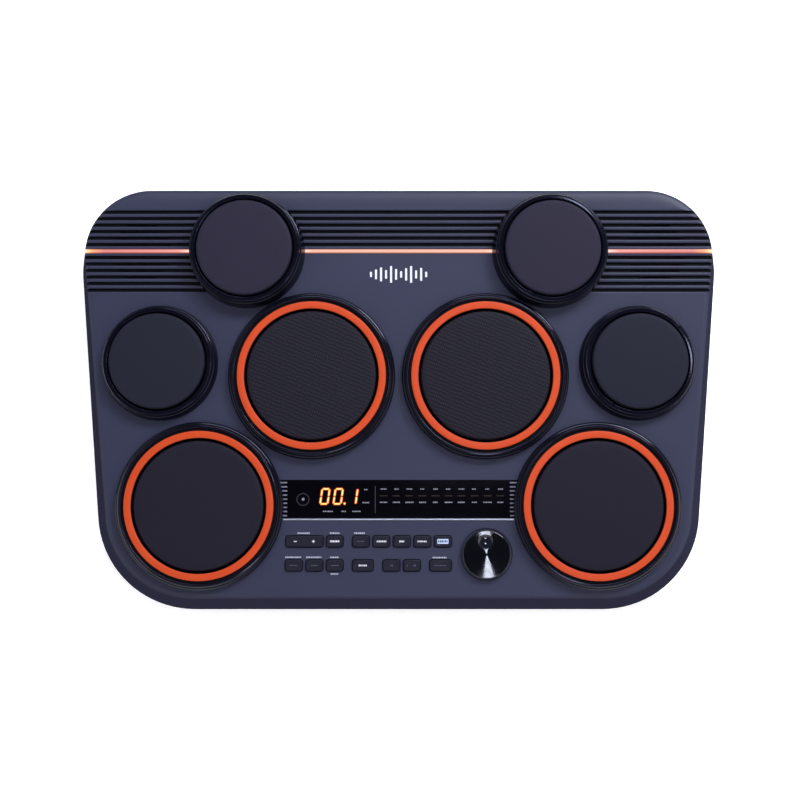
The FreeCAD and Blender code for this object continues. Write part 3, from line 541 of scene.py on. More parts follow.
DIAL_X, DIAL_V = deck_centre("encoder_shaft")
DIAL_RADIUS = (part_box("dial_knob")[1].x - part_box("dial_knob")[0].x) / 2 / MM
seat = hole_cutter(lambda grow: disc_outline(DIAL_X, DIAL_V, DIAL_RADIUS + 1.5 + grow), 1.2, 0.4)
shaft_hole = stacked("cutter", [on_deck(disc_outline(DIAL_X, DIAL_V, 4.2, 48), h)
                                for h in (-6, -0.8)])

# The socket window goes through the back wall.
SOCKET_HEIGHT = (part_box("socket_tray")[0].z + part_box("socket_tray")[1].z) / 2 / MM
outline = rectangle(0, SOCKET_HEIGHT, 236, 22, 2)
back_window = stacked("cutter", [
    [Vector((p[0] * MM, y * MM, p[1] * MM)) for p in outline] for y in (176, 200)
])

carve(top_case, [cavity, joined("cutter", wells), joined("cutter", grooves),
                 joined("cutter", slots), joined("cutter", holes), ledge, window, channel,
                 seat, shaft_hole, back_window])
tidy_mesh(top_case.data, 28.0)
weights = top_case.modifiers.new("Flat deck", "WEIGHTED_NORMAL")
weights.keep_sharp = True
weights.weight = 100
weights.mode = "FACE_AREA"
bpy.context.view_layer.update()
top_case.data = evaluated_mesh(top_case)
top_case.modifiers.clear()

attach(top_case, "case")
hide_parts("top_case")

# ------------------------------------------------------------- pad rims
# Stepped bezels in gloss black ABS, one round each pad, screwed from below.
# The large ones carry a flat ring on a ledge; the small ones are plain cups.
LATHE_STEPS = 160


def smoothed(profile):
    """A section whose corners are rounded: each entry is radius, height, rounding."""
    points = []
    count = len(profile)
    for i, (r, h, rounding) in enumerate(profile):
        here = Vector((r, h))
        if not rounding:
            points.append(here)
            continue
        before, after = profile[i - 1], profile[(i + 1) % count]
        a = here + (Vector(before[:2]) - here).normalized() * rounding
        b = here + (Vector(after[:2]) - here).normalized() * rounding
        points += bezier(a, here, b, 5)
    return points


def turned(name, profile, x, v, lean=(0.0, 0.0), top=1.0):
    """A ring turned from a closed section, its foot leaning away from its top."""
    section = smoothed(profile)
    count = len(section)
    points, faces = [], []
    for k in range(LATHE_STEPS):
        a = 2 * math.pi * k / LATHE_STEPS
        for p in section:
            away = min(1.0, max(0.0, 1 - p.y / top))
            points.append(deck_point(x + lean[0] * away + p.x * math.cos(a),
                                     v + lean[1] * away + p.x * math.sin(a), p.y))
        for i in range(count):
            j = (i + 1) % count
            here, there = k * count, (k + 1) % LATHE_STEPS * count
            faces.append((here + i, here + j, there + j, there + i))
    return mesh_object(name, points, faces)


gloss_black, gloss_shader, place = new_material("gloss_black_abs")
feed(gloss_black, gloss_shader, {
    "Base Color": srgb("#0a0b16"),
    "Roughness": spread(gloss_black, noise(gloss_black, place, 60.0, 5.0), 0.10, 0.13),
    "Normal": relief(gloss_black, noise(gloss_black, place, 160.0), 0.06, 0.0001),
    "IOR": 1.46,
    "Specular IOR Level": 0.32,
    "Specular Tint": srgb("#dfe1ff"),
})
# The ledge under the orange ring and the floor of the cup are left unpolished and get a darker
# black than the rim: painted shade in these deep gaps.
ledge_shade_black = groove_shade_black.copy()
ledge_shade_black.name = "unpolished_painted_shade_black"

RING_LEDGE, RIM_FLOOR = 8.4, -4.0
LARGE_RIM = [
    (76.0, 0.0, 0), (76.0, 4.4, 0.9), (74.9, 6.0, 0.5), (73.9, 6.3, 0.3), (73.4, 8.9, 0.5),
    (72.4, 10.1, 0.5), (70.6, 10.4, 0.5), (69.9, 9.6, 0.3), (69.4, 8.4, 0), (60.6, 8.4, 0.3),
    (60.6, -4.0, 0), (42.0, -4.0, 0), (42.0, -6.0, 0), (63.2, -6.0, 0), (63.2, 0.0, 0),
]
for pad in LARGE_PADS:
    x, v = deck_centre(f"{pad}_head")
    rim = turned(f"{pad}_rim", LARGE_RIM, x, v)
    wear(rim, gloss_black)
    rim.data.materials.append(ledge_shade_black)
    for face in rim.data.polygons:
        height = (DECK.inverted() @ face.center).z / MM
        # Faces at the ring's ledge and at the floor of the cup take the painted shade.
        if min(abs(height - RING_LEDGE), abs(height - RIM_FLOOR)) < 0.4:
            face.material_index = 1
    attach(rim, "case")
    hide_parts("centre_rims" if pad.startswith("centre") else "lower_rims")


def small_rim_section(top):
    """Section of a small pad's cup, whose height follows its head's."""
    return [
        (52.9, 0.0, 0), (52.7, 3.0, 0.9), (51.1, top - 7.0, 0.5), (50.2, top - 6.7, 0.3),
        (49.6, top - 4.0, 0.5), (48.8, top - 3.0, 0.5), (45.6, top - 3.3, 0.2),
        (45.0, top - 5.0, 0.3),
        (45.0, top - 12.5, 0), (30.0, top - 12.5, 0), (30.0, top - 14.5, 0),
        (49.5, top - 14.5, 0), (49.5, 0.0, 0),
    ]


SMALL_TOPS = {"cymbal": 20.0, "side": 15.0}
CUP_LEAN = 1.6
for pad in SMALL_PADS:
    family = pad.split("_")[0]
    x, v = deck_centre(f"{pad}_head")
    top = SMALL_TOPS[family]
    lean = (-math.copysign(CUP_LEAN, x), -0.7)
    rim = turned(f"{pad}_rim", small_rim_section(top), x, v, lean, top)
    wear(rim, gloss_black)
    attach(rim, "case")
    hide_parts(f"{family}_rims")

# ---------------------------------------------------------- orange rings
# Flat rings moulded in orange ABS and clipped to the ledge of each large rim.
# Satin, with a faint turning grain, so their edges catch a thin light line.
orange, orange_shader, place = new_material("orange_abs_satin")
feed(orange, orange_shader, {
    "Base Color": between(orange, noise(orange, place, 45.0, 4.0), "#bd3e16", "#ca491d"),
    "Roughness": 0.38,
    "Normal": relief(orange, noise(orange, place, 2600.0), 0.2, 0.00005),
    "Specular IOR Level": 0.3,
})
RING = [(61.1, 8.4, 0), (61.1, 10.5, 0.7), (64.3, 10.7, 1.0), (67.5, 10.5, 0.7), (67.5, 8.4, 0)]
for pad in LARGE_PADS:
    x, v = deck_centre(f"{pad}_head")
    ring = turned(f"{pad}_ring", RING, x, v)
    wear(ring, orange)
    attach(ring, "case")
    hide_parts("pad_rings")

# ------------------------------------------------------------ pad heads
# Moulded rubber caps with a shallow crown, bonded to a stiff plate. The two
# centre heads have a fine knurled face, the others a plain matt one.
EDGE, CROWN, CROWN_RINGS = 2.0, 0.9, 14


def crowned(name, radius, top, skirt, x, v):
    """A rubber cap: crowned face, rounded edge, short skirt and hollow inside."""
    outer = [(radius - EDGE) * (i / CROWN_RINGS) for i in range(1, CROWN_RINGS + 1)]
    section = [(r, top - CROWN * (r / radius) ** 2.4) for r in outer]
    edge_start = Vector(section[-1])
    corner = Vector((radius, edge_start.y - 0.25))
    edge = bezier(edge_start, corner, Vector((radius, top - 3.6)), 6)
    section = section[:-1] + [(p.x, p.y) for p in edge]
    section += [(radius, top - skirt), (radius - 3, top - skirt), (radius - 3, top - 4)]
    points = [deck_point(x, v, top)]
    count = len(section)
    faces = []
    for k in range(LATHE_STEPS):
        a = 2 * math.pi * k / LATHE_STEPS
        for r, h in section:
            points.append(deck_point(x + r * math.cos(a), v + r * math.sin(a), h))
        here, there = 1 + k * count, 1 + (k + 1) % LATHE_STEPS * count
        faces.append((0, here, there))
        for i in range(count - 1):
            faces.append((here + i, here + i + 1, there + i + 1, there + i))
    faces.append(tuple(1 + k * count + count - 1 for k in range(LATHE_STEPS)))
    return mesh_object(name, points, faces, 40.0)


def rubber(name, dark, light, knurl_mm=0.0):
    """Matt rubber: soft dark face with a fine mould grain, knurled if asked, with painted shade in
    the knurl's grooves.
    """
    material, shader, place = new_material(name)
    cloud = noise(material, place, 22.0, 4.0)
    height = noise(material, place, 2200.0)
    drift = cloud
    if knurl_mm:
        # Two crossed sets of shallow grooves, aslant to the case and one set closer.
        slanted = add_node(material, "ShaderNodeMapping", {"Rotation": (0, 0, math.radians(22))},
                           {"Vector": place}).outputs["Vector"]
        crossed = add_node(material, "ShaderNodeMath", {"operation": "MULTIPLY"})
        for i, (direction, pitch) in enumerate((("X", knurl_mm), ("Y", 1.6 * knurl_mm))):
            wave = add_node(material, "ShaderNodeTexWave",
                            {"bands_direction": direction, "Scale": 0.314 / (pitch * MM),
                             "Distortion": 3.0, "Detail": 1.0}, {"Vector": slanted})
            material.node_tree.links.new(wave.outputs["Fac"], crossed.inputs[i])
        # The knurl's height also sets the colour, so its grooves are darker: painted shade.
        height = drift = crossed.outputs["Value"]
    feed(material, shader, {
        "Base Color": between(material, drift, dark, light),
        "Roughness": spread(material, cloud, 0.52, 0.68),
        "Normal": relief(material, height, 0.35, 0.00012),
        "Specular IOR Level": 0.16,
    })
    return material


head_rubber = rubber("matt_pad_rubber", "#151321", "#171523")
knurled_rubber_groove_shade = rubber("knurled_pad_rubber_groove_shade", "#11101b", "#25232f", knurl_mm=2.1)
side_rubber = rubber("bluish_pad_rubber", "#171a28", "#1a1c2a")
# The cymbal heads at the back get a lighter tone than the rest, standing in for the stronger light
# there: painted light.
cymbal_rubber_painted_light = rubber("violet_pad_rubber_painted_light", "#222031", "#252233")
HEAD_RUBBER = {"centre": knurled_rubber_groove_shade, "lower": head_rubber, "side": side_rubber,
               "cymbal": cymbal_rubber_painted_light}
LARGE_HEAD, SMALL_HEAD, LARGE_TOP = 58.6, 43.6, 12.0
for pad in LARGE_PADS + SMALL_PADS:
    x, v = deck_centre(f"{pad}_head")
    family = pad.split("_")[0]
    if pad in LARGE_PADS:
        head = crowned(f"{pad}_face", LARGE_HEAD, LARGE_TOP, 11, x, v)
    else:
        head = crowned(f"{pad}_face", SMALL_HEAD, SMALL_TOPS[family], 8, x, v)
    wear(head, HEAD_RUBBER[family])
    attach(head, f"{pad}_pad")
    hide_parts(f"{pad}_head")

# ---------------------------------------------------------- light strip
# A clear acrylic light guide in a slot across the ribbed band, fed by lamps. It
# glows peach in the middle and pink at the sides, and its outer ends, next to
# the lamps, are the brightest and yellowest.
GUIDE_END = 288.0
GUIDE_STEPS = 40
GUIDE_SECTION = [(-0.5, -0.28), (-0.36, -0.06), (0.36, -0.06), (0.5, -0.28), (0.5, -6.0),
                 (-0.5, -6.0)]


def guide(name, start, end, flare=0.0):
    """One stretch of light guide with a crowned top and a slanted outer end."""
    points, faces = [], []
    for i in range(GUIDE_STEPS + 1):
        x = start + (end - start) * i / GUIDE_STEPS
        for across, h in GUIDE_SECTION:
            lean = flare * (i / GUIDE_STEPS) * max(0.0, -h) * 0.22
            points.append(deck_point(x + lean, LIGHT_V + across * LIGHT_WIDTH, h))
    count = len(GUIDE_SECTION)
    for i in range(GUIDE_STEPS):
        for j in range(count):
            k = (j + 1) % count
            faces.append((i * count + j, i * count + k, (i + 1) * count + k, (i + 1) * count + j))
    faces.append(tuple(range(count)))
    faces.append(tuple(GUIDE_STEPS * count + j for j in range(count)))
    return mesh_object(name, points, faces, 35.0)


glow, glow_shader, place = new_material("lit_acrylic_light_guide")


def distance_from(value, centre):
    """How far a value is from a middle, on either side."""
    off = add_node(glow, "ShaderNodeMath", {"operation": "SUBTRACT"})
    glow.node_tree.links.new(value, off.inputs[0])
    off.inputs[1].default_value = centre
    size = add_node(glow, "ShaderNodeMath", {"operation": "ABSOLUTE"})
    glow.node_tree.links.new(off.outputs["Value"], size.inputs[0])
    return size.outputs["Value"]


apart = add_node(glow, "ShaderNodeSeparateXYZ", None, {"Vector": place}).outputs
along = spread(glow, distance_from(apart["X"], 0.0), 0.0, 1.0, 0.0, 0.290)
off_line = distance_from(apart["Y"], deck_point(0, LIGHT_V, 0).y)
to_edge = spread(glow, off_line, 0.0, 1.0, 0.0004, 0.0017)


def ramp_node(material, source, stops):
    """A colour ramp over a 0 to 1 value."""
    node = add_node(material, "ShaderNodeValToRGB", None, {"Fac": source})
    while len(node.color_ramp.elements) < len(stops):
        node.color_ramp.elements.new(0.5)
    for element, (position, colour) in zip(node.color_ramp.elements, stops):
        element.position = position
        element.color = srgb(colour)
    return node.outputs["Color"]


CORE = [(0.0, "#f6c2ad"), (0.27, "#f9c8b2"), (0.31, "#fff0e2"), (0.66, "#fff0e6"),
        (0.70, "#f5a79c"), (0.93, "#e88f88"), (0.968, "#ffb884"), (0.985, "#fff0c0"),
        (1.0, "#fffbe6")]
BORDER = [(0.0, "#c4704a"), (0.30, "#c2623e"), (0.64, "#b8504a"), (0.93, "#a84a44"),
          (0.968, "#d8784c"), (0.985, "#ffb068"), (1.0, "#ffd8a0")]
shine = add_node(glow, "ShaderNodeMix", {"data_type": "RGBA"}, {
    "Factor": to_edge, "A": ramp_node(glow, along, CORE), "B": ramp_node(glow, along, BORDER)})
feed(glow, glow_shader, {
    "Base Color": srgb("#3a1d16"),
    "Roughness": 0.3,
    "Emission Color": shine.outputs["Result"],
    "Emission Strength": 1.0,
})
for name, start, end, flare in (("light_guide_middle", -89.5, 89.5, 0),
                                ("light_guide_right", 191.5, GUIDE_END, 1),
                                ("light_guide_left", -191.5, -GUIDE_END, -1)):
    strip = guide(name, start, end, flare)
    wear(strip, glow)
    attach(strip, "case")
    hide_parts("light_guides")

# ------------------------------------------------------- display window
# A smoked acrylic plate, polished and flush with the deck, over the lamps. The
# printed marks on it are plain bars in place of words.
smoked, smoked_shader, place = new_material("smoked_acrylic_window")
feed(smoked, smoked_shader, {
    "Base Color": srgb("#050409"),
    "Roughness": spread(smoked, noise(smoked, place, 30.0, 4.0), 0.04, 0.10),
    "IOR": 1.49,
})
plate = stacked("window_plate", [
    on_deck(rectangle(0, LENS_V, LENS_WIDTH - 2 * inset, LENS_DEPTH - 2 * inset, 2.8), h)
    for inset, h in ((0, -2.0), (0, -0.3), (0.25, -0.05))
])
wear(plate, smoked)
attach(plate, "case")
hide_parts("display_lens")


def ink(name, colour, glow_strength=0.0):
    """Printed or back-lit mark: a thin even colour with a slight print grain."""
    material, shader, place = new_material(name)
    speckle = noise(material, place, 2500.0)
    tint = add_node(material, "ShaderNodeMix", {"data_type": "RGBA"}, {"Factor": speckle})
    base = srgb(colour)
    tint.inputs["A"].default_value = tuple(0.88 * c for c in base[:3]) + (1,)
    tint.inputs["B"].default_value = base
    feed(material, shader, {
        "Base Color": tint.outputs["Result"],
        "Roughness": 0.5,
        "Specular IOR Level": 0.2,
    })
    if glow_strength:
        feed(material, shader, {"Emission Color": tint.outputs["Result"],
                                "Emission Strength": glow_strength})
    return material


def slab(name, outline, low, high):
    """A thin flat solid over an outline on the deck."""
    return stacked(name, [on_deck(outline, low), on_deck(outline, high)])


# Seven-segment figures: italic bars with pointed ends, lit amber.
SEGMENT = 1.5
DIGIT_HIGH = 15.0
DIGIT_WIDE = 8.2
SLANT = math.tan(math.radians(8.0))
DIGIT_LOW_V = -103.5
LIT = {"0": "abcdef", "1": "bc"}


def bar(a, b, swell=0.0):
    """One pointed segment between two ends, as an outline."""
    a, b = Vector(a), Vector(b)
    way = (b - a).normalized()
    side = Vector((-way.y, way.x)) * (SEGMENT / 2 + swell)
    tip = way * SEGMENT / 2
    a, b = a - way * swell, b + way * swell
    return [a, a + tip - side, b - tip - side, b, b - tip + side, a + tip + side]


def digit(figure, x, swell=0.0):
    """The lit segments of one figure, as slanted outlines."""
    w, hgt = DIGIT_WIDE - SEGMENT, DIGIT_HIGH - SEGMENT
    gap = 0.25
    ends = {
        "a": ((0, hgt), (w, hgt)), "b": ((w, hgt), (w, hgt / 2)), "c": ((w, hgt / 2), (w, 0)),
        "d": ((0, 0), (w, 0)), "e": ((0, hgt / 2), (0, 0)), "f": ((0, hgt), (0, hgt / 2)),
    }
    shapes = []
    for key in LIT[figure]:
        p, q = Vector(ends[key][0]), Vector(ends[key][1])
        way = (q - p).normalized() * gap
        upright = bar(p + way, q - way, swell)
        shapes.append([(x + c.x + c.y * SLANT, DIGIT_LOW_V + c.y) for c in upright])
    return shapes


WINDOW_TOP = -0.05
PRINT = 0.05
FIGURES = (("0", -71.0), ("0", -59.0), ("1", -45.6))
POINT_AT = (-48.9, DIGIT_LOW_V + 0.3)
LAYERS = [
    # name, finish, colour, how far it swells past the segment, bottom, top
    ("figure_halo", "deep_amber_halo", "#7a2c0c", 0.55, WINDOW_TOP, WINDOW_TOP + 0.02),
    ("lit_figures", "amber_lit_segment", "#ff9236", 0.0, WINDOW_TOP + 0.02, WINDOW_TOP + 0.05),
    ("figure_cores", "pale_amber_core", "#ffcf8e", -0.42, WINDOW_TOP + 0.05, WINDOW_TOP + 0.07),
]
for name, finish, colour, swell, low, high in LAYERS:
    pieces = []
    for i, (figure, x) in enumerate(FIGURES):
        for s, outline in enumerate(digit(figure, x, swell)):
            lift = 0.002 * ((s + i) % 2)
            pieces.append(slab("segment", outline, low, high + lift))
    pieces.append(slab("segment", disc_outline(*POINT_AT, 0.9 + swell, 20), low, high))
    display = joined(name, pieces)
    wear(display, ink(finish, colour, 1.0))
    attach(display, "case")


def marks(name, boxes, low, material, body):
    """Printed bars, each given as middle x, middle v, width and height."""
    shapes = [slab("mark", rectangle(x, v, w, d, min(w, d) * 0.3, 2), low, low + PRINT)
              for x, v, w, d in boxes]
    item = joined(name, shapes)
    wear(item, material)
    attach(item, body)
    return item


def broken_word(x, v, wide, high, seed):
    """A word's place, filled with short bars of uneven width."""
    order = random.Random(seed)
    boxes = []
    left = x - wide / 2
    while left < x + wide / 2 - 0.5:
        w = min(order.uniform(0.7, 1.5), x + wide / 2 - left)
        boxes.append((left + w / 2, v, w, high * order.uniform(0.75, 1.0)))
        left += w + 0.4
    return boxes


dim_print = ink("dim_window_print", "#8a8a98")
faint_print = ink("unlit_lamp_window", "#2c211f")
COLUMN_FIRST, COLUMN_PITCH = -13.6, 11.77
legend = []
lamps = []
for column in range(10):
    x = COLUMN_FIRST + column * COLUMN_PITCH
    order = random.Random(column)
    legend += broken_word(x, -90.1, order.uniform(3.5, 5.5), 1.3, column + 1)
    legend += broken_word(x, -102.1, order.uniform(4.5, 7.5), 1.3, column + 31)
    lamps += broken_word(x, -96.2, 7.0, 1.3, column + 61)
for x, v, wide in ((-29.5, -90.6, 3.5), (-29.5, -102.4, 6.5), (-63.9, -110.3, 9),
                   (-49.6, -110.3, 4), (-38.2, -110.3, 7.5)):
    legend += broken_word(x, v, wide, 1.3, int(-x * 10))
marks("window_legend", legend, WINDOW_TOP, dim_print, "case")
marks("lamp_windows", lamps, WINDOW_TOP, faint_print, "case")
marks("window_divider", [(-21.1, -99.7, 0.5, 24.5)], WINDOW_TOP, ink("divider_print", "#3f3f4c"),
      "case")

# Tick marks down both ends of the window, repeated by a small node tree.
TICKS = 9
TICK_SIZE = (7.4, 1.3)
TICK_PITCH = 3.72


def repeat_tree(name):
    """A tree that repeats a small bar along a line and makes the copies real."""
    tree = bpy.data.node_groups.new(name, "GeometryNodeTree")
    face = tree.interface
    face.new_socket("Geometry", in_out="OUTPUT", socket_type="NodeSocketGeometry")
    face.new_socket("Count", in_out="INPUT", socket_type="NodeSocketInt")
    for title in ("Start", "Step", "Bar size"):
        face.new_socket(title, in_out="INPUT", socket_type="NodeSocketVector")
    face.new_socket("Finish", in_out="INPUT", socket_type="NodeSocketMaterial")
    nodes, links = tree.nodes, tree.links
    entry = nodes.new("NodeGroupInput")
    line = nodes.new("GeometryNodeMeshLine")
    line.mode = "OFFSET"
    links.new(entry.outputs["Count"], line.inputs["Count"])
    links.new(entry.outputs["Start"], line.inputs["Start Location"])
    links.new(entry.outputs["Step"], line.inputs["Offset"])
    cube = nodes.new("GeometryNodeMeshCube")
    links.new(entry.outputs["Bar size"], cube.inputs["Size"])
    copies = nodes.new("GeometryNodeInstanceOnPoints")
    links.new(line.outputs["Mesh"], copies.inputs["Points"])
    links.new(cube.outputs["Mesh"], copies.inputs["Instance"])
    real = nodes.new("GeometryNodeRealizeInstances")
    links.new(copies.outputs["Instances"], real.inputs["Geometry"])
    paint = nodes.new("GeometryNodeSetMaterial")
    links.new(real.outputs["Geometry"], paint.inputs["Geometry"])
    links.new(entry.outputs["Finish"], paint.inputs["Material"])
    leave = nodes.new("NodeGroupOutput")
    links.new(paint.outputs["Geometry"], leave.inputs["Geometry"])
    return tree


BAR_TREE = repeat_tree("bars_along_a_line")


def repeated_bars(name, count, start, step, size, material, place):
    """Bars along a line, made by the tree and then fixed in their place."""
    item = bpy.data.objects.new(name, bpy.data.meshes.new(name))
    scene.collection.objects.link(item)
    maker = item.modifiers.new("Bars", "NODES")
    maker.node_group = BAR_TREE
    values = {"Count": count, "Start": start, "Step": step, "Bar size": size, "Finish": material}
    for socket in BAR_TREE.interface.items_tree:
        if socket.in_out == "INPUT":
            maker[socket.identifier] = values[socket.name]
    bpy.context.view_layer.update()
    item.data = evaluated_mesh(item)
    item.modifiers.clear()
    item.data.transform(place)
    return item


tick_print = ink("grey_tick_print", "#777889")
for side in (-1, 1):
    ticks = repeated_bars(
        f"window_ticks_{'left' if side < 0 else 'right'}", TICKS,
        [side * 104.6 * MM, (LENS_V - 14.9) * MM, (WINDOW_TOP + PRINT / 2) * MM],
        [0.0, TICK_PITCH * MM, 0.0], [TICK_SIZE[0] * MM, TICK_SIZE[1] * MM, PRINT * MM],
        tick_print, DECK)
    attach(ticks, "case")

# A ring with a bright dot at the window's left: the remote eye. The dot's faint glow is painted
# light, as the eye is no lamp.
eye_x, eye_v = -86.6, -99.5
ring_print = ink("dark_ring_print", "#24232f")
outer = slab("eye", disc_outline(eye_x, eye_v, 5.9, 64), WINDOW_TOP, WINDOW_TOP + PRINT)
carve(outer, [slab("cutter", disc_outline(eye_x, eye_v, 4.9, 64), -1, 1)])
tidy_mesh(outer.data)
outer.name = "eye_ring"
wear(outer, ring_print)
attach(outer, "case")
dot = slab("eye_dot", disc_outline(eye_x + 0.2, eye_v + 0.2, 1.35, 32), WINDOW_TOP,
           WINDOW_TOP + PRINT)
wear(dot, ink("pale_eye_dot_painted_glow", "#7a7a86", 0.1))
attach(dot, "case")

# ----------------------------------------------------------- metal line
# A drawn aluminium wire with a rounded top, pressed into a channel under the
# window. Its long grain gives one clean bright line.
aluminium, metal_shader, place = new_material("drawn_aluminium")
stretched = add_node(aluminium, "ShaderNodeMapping", {"Scale": (40, 1, 1)}, {"Vector": place})
streaks = noise(aluminium, stretched.outputs["Vector"], 900.0)
feed(aluminium, metal_shader, {
    "Base Color": srgb("#a9adbd"),
    "Metallic": 1.0,
    "Roughness": spread(aluminium, streaks, 0.25, 0.42),
})
TRIM_SECTION = [(-0.8, -1.2), (0.8, -1.2), (0.8, 0.15), (0.62, 0.42), (0.3, 0.56), (0.0, 0.6),
                (-0.3, 0.56), (-0.62, 0.42), (-0.8, 0.15)]
trim = stacked("metal_line", [
    [deck_point(x, TRIM_V + dv, h) for dv, h in TRIM_SECTION]
    for x in (-TRIM_WIDTH / 2, TRIM_WIDTH / 2)
], 50.0)
wear(trim, aluminium)
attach(trim, "case")
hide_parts("panel_trim")

# ------------------------------------------------------------------ keys
# Fourteen small caps in navy ABS, satin, each with a shallow dished top and a
# flange that holds it under the deck. The marks on them are plain bars.
navy, navy_shader, place = new_material("navy_abs_key")
feed(navy, navy_shader, {
    "Base Color": between(navy, noise(navy, place, 80.0, 3.0), "#0f111f", "#131525"),
    "Roughness": 0.42,
    "Normal": relief(navy, noise(navy, place, 2800.0), 0.2, 0.00005),
    "Specular IOR Level": 0.25,
})
KEY_TOP = 2.2
KEY_EDGE = 0.8
DISH = 0.22


def key_cap(name, x, v, wide):
    """A key: flange, straight walls, rounded shoulder and dished top."""
    rings = []
    for h, inset in ((-5.7, -1.0), (-4.5, -1.0), (-4.5, 0.0), (KEY_TOP - KEY_EDGE, 0.0)):
        radius = 2.0 if inset >= 0 else 0.6
        rings.append(on_deck(rectangle(x, v, wide - 2 * inset, KEY_DEPTH - 2 * inset, radius), h))
    for i in range(1, 6):
        a = math.pi / 2 * i / 5
        inset, h = KEY_EDGE * (1 - math.cos(a)), KEY_TOP - KEY_EDGE * (1 - math.sin(a))
        outline = rectangle(x, v, wide - 2 * inset, KEY_DEPTH - 2 * inset, 2.0 - inset)
        rings.append(on_deck(outline, h))
    for i in range(1, 7):
        s = i / 7
        inset = KEY_EDGE + (KEY_DEPTH / 2 - KEY_EDGE) * s * 0.98
        radius = max(0.02, (2.0 - KEY_EDGE) * (1 - s))
        drop = DISH * (1 - (1 - s) ** 2)
        outline = rectangle(x, v, wide - 2 * inset, KEY_DEPTH - 2 * inset, radius)
        rings.append(on_deck(outline, KEY_TOP - drop))
    return stacked(name, rings, 35.0)


bright_print = ink("white_key_print", "#d9dbe6")
soft_print = ink("grey_key_print", "#4d4f63")
# Bars on each key: offset from the key's middle, width, height, and how bright.
KEY_MARKS = {
    "volume_key": [(-8.2, 0, 3.0, 0.8, 1), (8.2, 0, 2.6, 0.8, 1), (8.2, 0, 0.8, 2.6, 1)],
    "tempo_key": [(0, 0.1, 10.4, 1.9, 1)], "kit_key": [(0, 0, 6.6, 1.2, 0)],
    "song_key": [(0, 0, 10.4, 1.8, 1)], "voice_key": [(0, 0, 4.6, 1.8, 1)],
    "click_key": [(0, 0, 8.4, 1.8, 1)], "menu_key": [(0, 0, 6.8, 1.1, 0)],
    "effect_key": [(0, 0, 6.4, 1.1, 0)], "bank_key": [(0, 0, 7.0, 1.1, 0)],
    "start_key": [(0, 0, 7.2, 1.8, 1)], "mute_key": [(0.3, 0, 2.4, 1.2, 0)],
    "solo_key": [(-4.2, 0, 0.8, 1.8, 0), (2.6, 0, 2.2, 1.4, 0)],
    "sampler_key": [(0, 0, 11.0, 1.0, 0)],
}
for name, (x, v, wide) in key_places.items():
    cap = key_cap(f"{name}_cap", x, v, wide)
    wear(cap, navy)
    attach(cap, name)
    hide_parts(name)
    for strength, material in ((1, bright_print), (0, soft_print)):
        boxes = []
        for dx, dv, w, d, level_of in KEY_MARKS.get(name, ()):
            if level_of != strength:
                continue
            if w > 4:
                boxes += broken_word(x + dx, v + dv, w, d, int(abs(x) * 7))
            else:
                boxes.append((x + dx, v + dv, w, d))
        if boxes:
            marks(f"{name}_mark_{strength}", boxes, KEY_TOP - DISH - 0.01, material, name)

# The record key carries a back-lit window with a dark bar across it.
x, v, wide = key_places["record_key"]
lit = slab("record_key_window", rectangle(x, v, 11.6, 5.6, 0.8), KEY_TOP - DISH - 0.02,
           KEY_TOP - DISH + 0.06)
wear(lit, ink("ice_blue_lit_window", "#a9b9da", 0.35))
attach(lit, "record_key")
marks("record_key_mark", broken_word(x, v, 8.6, 2.2, 5), KEY_TOP - DISH + 0.06,
      ink("slate_key_print", "#4b5877"), "record_key")

# Marks printed on the deck by the keys, and a plain row of bars at the back.
deck_print = ink("pale_deck_print", "#b9bccb")
labels = []
for x, v, w in ((-85.5, -129.9, 11.5), (-57.7, -129.9, 8.5), (-35.0, -129.9, 10.0),
                (-95.0, -151.6, 14.5), (-76.5, -151.6, 13.5), (-57.8, -151.6, 8.0),
                (-57.6, -166.6, 7.0), (37.0, -151.9, 12.5)):
    labels += broken_word(x, v, w, 1.5, int(abs(x) * 3 + abs(v)))
marks("deck_labels", labels, 0.0, deck_print, "case")
BADGE_V = 106.5
BADGE_HEIGHTS = (5.0, 9.0, 13.0, 8.0, 15.5, 10.0, 6.0, 11.5, 15.5, 7.5, 12.0, 5.0)
badge = []
for i, high in enumerate(BADGE_HEIGHTS):
    badge.append(((i - (len(BADGE_HEIGHTS) - 1) / 2) * 4.6, BADGE_V, 1.9, high))
marks("deck_badge", badge, 0.0, ink("white_badge_print", "#e4e6ee"), "case")

# ------------------------------------------------------------------ dial
# A black cap turned with fine rings, so that the light fans out from its
# middle, with a polished finger dimple by its back edge. It turns with its shaft.
DIAL_TOP = 6.2
DIMPLE_OFFSET = (-1.1, 11.6)
DIMPLE_ACROSS, DIMPLE_DEEP = 6.7, 1.1
DIMPLE_BALL = (DIMPLE_ACROSS ** 2 + DIMPLE_DEEP ** 2) / (2 * DIMPLE_DEEP)


RING_PITCH = 0.5
RING_TILT = math.tan(math.radians(5.0))
ROUNDING = 1.0


def dial_height(r):
    """Height of the dial's face at a radius: fine turned rings, then a rounded edge."""
    if r <= DIAL_RADIUS - ROUNDING:
        phase = r / RING_PITCH % 2
        return DIAL_TOP - RING_PITCH * RING_TILT * (1 - abs(phase - 1))
    s = (r - DIAL_RADIUS + ROUNDING) / ROUNDING
    return DIAL_TOP - ROUNDING * (1 - math.sqrt(max(0.0, 1 - s * s)))


